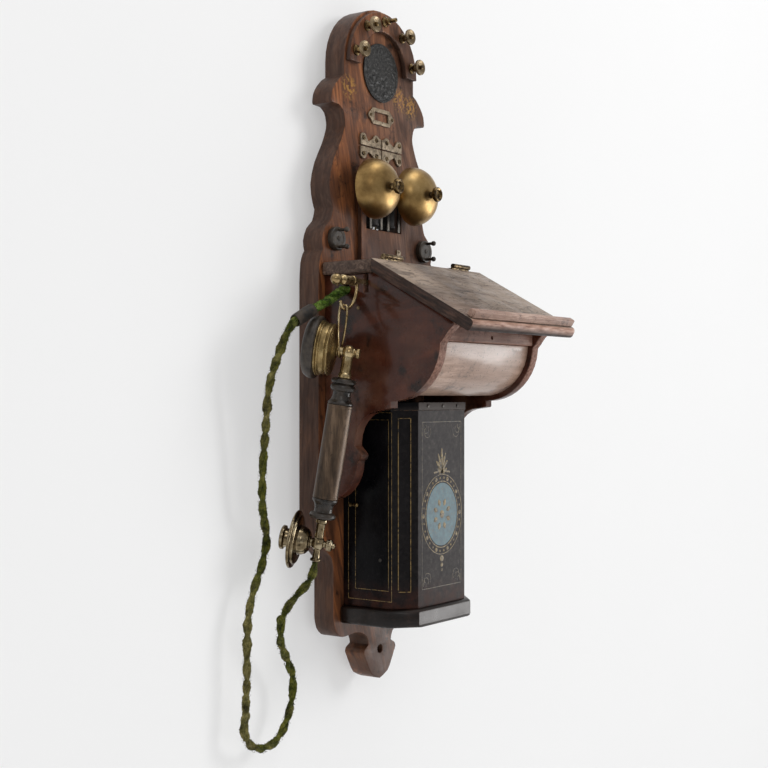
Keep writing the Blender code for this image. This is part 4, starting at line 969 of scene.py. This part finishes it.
def make_handset():
    place = handset_place()
    here, mouth = (0, 0, 0), (0, 0, -(EAR_YOKE - MOUTH_YOKE).length)

    def turned(name, look, node, *shapes):
        form = Form(place)
        for profile, at, toward, knurl in shapes:
            form.lathe(profile, at, toward, 144 if knurl else 96, 0.5, knurl=knurl)
        form.done(name, look, node=node)

    turned("handle_tube", TUBE_COVER, "handset_tube",
           ([(0, 50.7), (12.0, 50.7), (12.2, 51.5), (12.2, 53.0), (12.0, 53.4), (12.0, 138.6), (12.2, 139),
             (12.2, 140.5), (12.0, 141.3), (0, 141.3)], here, DOWN, None))
    turned("handle_collar_upper", EBONITE, "collar_upper",
           ([(0, 25.3), (9, 25.3), (11.6, 26.2), (12.2, 28), (11.6, 30), (9.4, 31), (11.6, 32), (12.2, 34.4),
             (11, 37), (8.6, 38.2), (8.6, 42), (9.8, 46), (12, 48.6), (12, 50.4), (0, 50.4)], here, DOWN, None))
    turned("handle_collar_lower", EBONITE, "collar_lower",
           ([(0, 141.6), (12, 141.6), (12, 143.6), (9.4, 147), (8.6, 151), (8.8, 154.4), (11.8, 155.6),
             (12.8, 158), (11.8, 160.4), (0, 161.4)], here, DOWN, None))
    turned("ear_yoke", HANDSET_METAL, "receiver_yoke",
           ([(0, -3), (4.2, -3), (5, 0), (5.2, 5), (5.4, 20), (6.4, 21), (6.4, 25), (0, 25)], here, DOWN, None),
           ([(0, -11.6), (4, -11.3), (4.8, -10.2), (4.8, -8.2), (3.2, -7.6), (3.2, -6.6), (4.6, -6.2),
             (4.6, -4.6), (3.8, -3.9), (5, -2.2), (5.5, 0), (5, 2.4), (4.3, 4), (4.3, 9.9), (5.4, 10),
             (5.4, 10.9), (0, 10.9)], here, RIGHT, (-10.6, -8.0, 24, 0.25)),
           (ball(6.8), here, UP, None))
    turned("receiver_shell", SHELL_BRASS, "receiver_body",
           ([(0, 11.2), (5.4, 11.2), (7.4, 12.3), (12, 14.6), (18, 15.2), (23.6, 15.4), (24.8, 15.9),
             (25.2, 16.8), (24.6, 17.7), (23.4, 18.0), (23.4, 18.6), (24.6, 19.2), (24.9, 21), (24.9, 23.2), (24.5, 24.1),
             (25.6, 24.5), (26.4, 25.4), (25.8, 26.4), (25.4, 26.8), (26.8, 27.2), (27, 28.6), (0, 28.6)],
            here, RIGHT, None))
    turned("receiver_cap", CAP_EBONITE, "ear_cap",
           ([(0, 28.9), (29.4, 28.9), (30.4, 30.2), (30.4, 33.4), (29.4, 36.4), (27.4, 39.4), (25.4, 40.5),
             (20, 39.8), (9, 36.6), (3, 36.0), (3, 33.5), (0, 33.5)], here, RIGHT, None))
    turned("mouth_yoke", DARK_NICKEL, "transmitter_yoke",
           ([(0, 161.7), (5.4, 161.7), (5.4, 165), (4.2, 166), (4.2, 180), (5, 184.9), (4.6, 189.2), (3.4, 191),
             (3.6, 199), (5.2, 199.8), (5.2, 202), (0, 202)], here, DOWN, None),
           ([(0, -17), (2.4, -16.8), (2.6, -14.4), (5, -13.8), (5.6, -12.6), (5.6, -9.6), (4.8, -8.4),
             (3.4, -7.8), (3.4, -4.6), (5, -2.4), (5.5, 0), (5, 2.4), (4.2, 4), (4.2, 7.2), (6.4, 7.6),
             (6.4, 8.4), (0, 8.4)], mouth, RIGHT, (-12.8, -9.4, 24, 0.25)),
           (ball(6.8), mouth, UP, None))
    turned("transmitter_shell", DARK_NICKEL, "transmitter_body",
           ([(0, 8.7), (9.2, 8.7), (12, 11), (13.6, 14.6), (13.8, 18), (15.6, 18.6), (22.4, 19), (23.8, 19.8),
             (23.8, 21.4), (27.4, 21.8), (28.3, 22.8), (28.3, 23.9), (27.4, 24.6), (0, 24.6)], mouth, RIGHT, None))
    turned("mouth_funnel", DARK_NICKEL, "mouthpiece",
           ([(0, 24.9), (10.2, 24.9), (9, 26.4), (8.7, 29), (9.4, 32.2), (11.6, 33), (11.8, 35.4), (10.6, 36.5),
             (8.8, 35), (7.4, 31.6), (0, 31)], mouth, RIGHT, None))
    return place


def make_hanger(place):
    """A long twisted wire link, over the lever's hook at the top and under the receiver's neck below."""
    face = place.col[0].to_3d()
    neck = EAR_YOKE + face * 8.5
    top = Vector((-129.5, -75.6, 29 + 1.6 + 1.1 + 1.3))
    rise = (top - neck).normalized()
    across = Vector((face.y, -face.x, 0)).normalized()
    length = (top - neck).length

    def spot(height, half, sign):
        share = min(max(height / length, 0), 1)
        turn = Matrix.Rotation(-math.radians(100) * share * share * (3 - 2 * share), 3, rise)
        return neck + rise * height + turn @ across * half * sign

    leg = [(0, 5.9), (0.10, 5.7), (0.22, 5.0), (0.38, 4.1), (0.55, 3.6), (0.72, 3.7), (0.88, 3.8)]
    leg = [(share * length, half) for share, half in leg] + [(length - 1.5, 3.3), (length - 0.3, 1.9)]
    side = {sign: [spot(height, half, sign) for height, half in leg] for sign in (1, -1)}
    bottom = [spot(-5.9 * math.sin(a), 5.9 * math.cos(a), 1)
              for a in (math.radians(30 * n) for n in range(1, 6))]
    ring = [tuple(p) for p in (*side[1][::-1], *bottom, *side[-1], top)]
    lap, steps = 3, 4
    smooth = flow([*ring[-lap:], *ring, *ring[:lap]], steps)[lap * steps:-lap * steps - 1]
    Form().tube(smooth, 1.1, closed=True).done("hanger_link", HANDSET_METAL, node="hanger_loop")


make_hanger(make_handset())


# ---------------------------------------------------------------- battery box

COVER_FRONT, COVER_SIDE = -102.5, 64


def frame_line(form, corners, width, normal):
    for a, b in zip(corners, [*corners[1:], corners[0]]):
        form.leaf([a, b], width, 0.14, normal)


def make_lining():
    """Gold lines on the cover's faces, with a small scroll in each corner of the front."""
    form = Form()
    for low, high, top, bottom in ((-31.8, -85.0, -70.5, -257.5), (-40.6, -81.3, -77.5, -247.0)):
        for x, normal in ((-COVER_SIDE, LEFT), (COVER_SIDE, RIGHT)):
            frame_line(form, [(x, low, top), (x, high, top), (x, high, bottom), (x, low, bottom)], 0.6,
                       normal)
    for sign in (-1, 1):
        normal = Vector((sign, -1, 0)).normalized()
        along = Vector((-sign, -1, 0)).normalized()
        start = Vector((sign * COVER_SIDE, -83.5, 0))
        a, b = start + along * 8.0, start + along * 20.5
        frame_line(form, [(*a.xy, -76), (*b.xy, -76), (*b.xy, -248), (*a.xy, -248)], 0.8, normal)
    form.done("cover_lining", GOLD_LINE, slot="black_metal")
    form, front, half, top, bottom = Form(), COVER_FRONT, 36, -80, -247
    frame_line(form, [(-half, front, top), (half, front, top), (half, front, bottom),
                      (-half, front, bottom)], 0.6, FORWARD)
    for sx in (-1, 1):
        for z, sz in ((top, -1), (bottom, 1)):
            for size in (6, 9.5, 13):
                curl = [(sx * (half - size * 0.75 - 0.45 * size * math.cos(a)), front,
                         z + sz * (size * 0.75 + 0.45 * size * math.sin(a)))
                        for a in (math.radians(20 * n - 40) for n in range(14))]
                form.leaf(curl, 0.55, 0.12, FORWARD)
    form.done("front_lining", FADED_LINE, slot="black_metal")


def make_emblem():
    """A generic flower in a blue oval, inside a beaded ring with a palmette above and a drop below."""
    front, cz = COVER_FRONT, -174.0
    oval = arc(0, cz, 28, 0, 355, 71, 32)
    Form().slab(oval, front + 0.1, front - 0.14, "Y", 0.995).done("emblem_field", BLUE, slot="black_metal")
    gilt = Form()
    for wide, tall, width in ((29.6, 33.6, 1.1), (37.0, 40.5, 0.8)):
        gilt.leaf([(x, front, z) for x, z in arc(0, cz, wide, 0, 360, 90, tall)], width, 0.2, FORWARD)
    for n, a in enumerate(turns(30)):
        x, z = 33.4 * math.cos(a), cz + 37.2 * math.sin(a)
        size = 2.5 if n % 3 == 0 else 1.5
        gilt.slab(arc(x, z, size, 0, 324, 9), front + 0.1, front - 0.28, "Y", 0.6)
    for a in turns(8):
        a += math.pi / 8
        (ax, az), (bx, bz) = [(reach * math.cos(a), cz + reach * math.sin(a)) for reach in (8, 17)]
        sx, sz = -math.sin(a) * 3.0, math.cos(a) * 3.0
        petal = flow([(ax, az), (ax * 0.5 + bx * 0.5 + sx, az * 0.5 + bz * 0.5 + sz), (bx, bz),
                      (ax * 0.5 + bx * 0.5 - sx, az * 0.5 + bz * 0.5 - sz), (ax, az)], 4)[:-1]
        gilt.slab(petal, front + 0.05, front - 0.34, "Y", 0.75)
    gilt.slab(arc(0, cz, 4.6, 0, 340, 17), front + 0.05, front - 0.4, "Y", 0.7)
    for n in range(-3, 4):
        a = math.radians(90 + 24 * n)
        reach = 27 - abs(n) * 3.2
        base = Vector((n * 2.2, -133))
        tip = base + Vector((math.cos(a), math.sin(a))) * reach
        side = Vector((-math.sin(a), math.cos(a))) * 2.2
        mid = base.lerp(tip, 0.62)
        leaf = flow([tuple(base), tuple(mid + side), tuple(tip), tuple(mid - side), tuple(base)], 4)[:-1]
        gilt.slab(leaf, front + 0.05, front - 0.26, "Y", 0.8)
    gilt.leaf([(-15, front, -131.5), (0, front, -129.5), (15, front, -131.5)], 2.0, 0.25, FORWARD)
    for z, size in ((-219, 3.4), (-225.5, 2.4), (-230.5, 1.6)):
        gilt.slab(arc(0, z, size, 0, 330, 11), front + 0.05, front - 0.26, "Y", 0.6)
    gilt.done("emblem_ornament", GILT, slot="brass")


def make_box():
    for node, look, bevel in (("battery_cover", COVER_PAINT, 0.9), ("base_plate", BASE_WOOD, 0.0),
                              ("battery_cell", PAPER, 0.6), ("cover_latch", BRASS, 0.0)):
        refined(node, look, bevel)
    rivets = Form()
    for x, z in ((-27, -64), (0, -64), (27, -64)):
        rivets.lathe([(0, -0.5), (1.9, -0.5), (1.9, 0.3), (1.2, 0.9), (0, 1.1)], (x, -103.5, z), FORWARD,
                     24, 0.2)
    rivets.lathe([(0, -0.5), (2.0, -0.5), (2.0, 0.3), (1.2, 1.0), (0, 1.2)], (-COVER_SIDE, -71, -217), LEFT,
                 24, 0.2)
    rivets.done("cover_rivets", IRON, slot="iron")


make_box()
make_lining()
make_emblem()


# ---------------------------------------------------------------- stage and light

def stage_look(name, tone, glow, one_sided):
    """Plain pale paint with the faintest mottle and a little glow; from behind, a wall is seen through."""
    look = Look(name, Specular_IOR_Level=0.1, Roughness=0.9, Emission_Strength=glow,
                Emission_Color=(1, 1, 1, 1))
    look.tone = look.spots(300, (0.3, tone), (0.7, tuple(c + 1 for c in tone)), detail=2)
    look.out()
    if one_sided:
        clear = look.add("BsdfTransparent")
        facing = look.add("NewGeometry").outputs["Backfacing"]
        pick = look.add("MixShader", {0: facing, 1: look.shader.outputs[0], 2: clear.outputs[0]})
        output = look.tree.nodes["Material Output"]
        look.tree.links.new(pick.outputs[0], output.inputs["Surface"])
    return look.material


def flat(name, corners, look):
    mesh = bpy.data.meshes.new(name)
    mesh.from_pydata(corners, [], [(0, 1, 2, 3)])
    mesh.materials.append(look)
    obj = bpy.data.objects.new(name, mesh)
    bpy.context.scene.collection.objects.link(obj)


def make_stage():
    flat("wall", [(-6, 0.012, -1.3), (6, 0.012, -1.3), (6, 0.012, 4), (-6, 0.012, 4)],
         stage_look("wall_paint", (188, 188, 188), 0.39, True))
    flat("floor", [(-6, -6, -1.3), (6, -6, -1.3), (6, 6, -1.3), (-6, 6, -1.3)],
         stage_look("floor_paint", (188, 188, 188), 0.35, False))


def area_light(name, at, target, size, power, seen_by="both"):
    """A soft light; seen_by leaves it out of the glossy or the diffuse light."""
    light = bpy.data.lights.new(name, "AREA")
    light.shape = "RECTANGLE"
    light.size, light.size_y = size
    light.energy = power
    lamp = bpy.data.objects.new(name, light)
    lamp.location = at
    lamp.rotation_mode = "QUATERNION"
    lamp.rotation_quaternion = (Vector(target) - Vector(at)).to_track_quat("-Z", "Y")
    lamp.visible_glossy = seen_by != "diffuse"
    lamp.visible_diffuse = seen_by != "glossy"
    bpy.context.scene.collection.objects.link(lamp)


def make_light():
    world = bpy.data.worlds.new("studio")
    world.use_nodes = True
    nodes, links = world.node_tree.nodes, world.node_tree.links
    height = nodes.new("ShaderNodeSeparateXYZ")
    links.new(nodes.new("ShaderNodeTexCoord").outputs["Generated"], height.inputs[0])
    fade = nodes.new("ShaderNodeMapRange")
    links.new(height.outputs["Z"], fade.inputs["Value"])
    for socket, value in (("From Min", -0.2), ("From Max", 0.9), ("To Min", 0.24), ("To Max", 0.72)):
        fade.inputs[socket].default_value = value
    links.new(fade.outputs[0], nodes["Background"].inputs["Strength"])
    nodes["Background"].inputs["Color"].default_value = (1, 1, 1, 1)
    bpy.context.scene.world = world
    bpy.context.scene.view_settings.view_transform = "Standard"
    middle = (0, -0.05, 0)
    area_light("key", (1.5, -2.5, 1.2), middle, (1.4, 1.4), 42, "diffuse")
    area_light("sheen_panel", (2.6, -1.9, -0.45), (0, -0.05, -0.1), (2.0, 1.3), 44, "glossy")
    area_light("top", (0.2, -0.7, 2.3), middle, (1.4, 0.9), 11)
    area_light("left", (-1.9, -1.7, 1.1), middle, (0.5, 0.9), 6)


make_stage()
make_light()
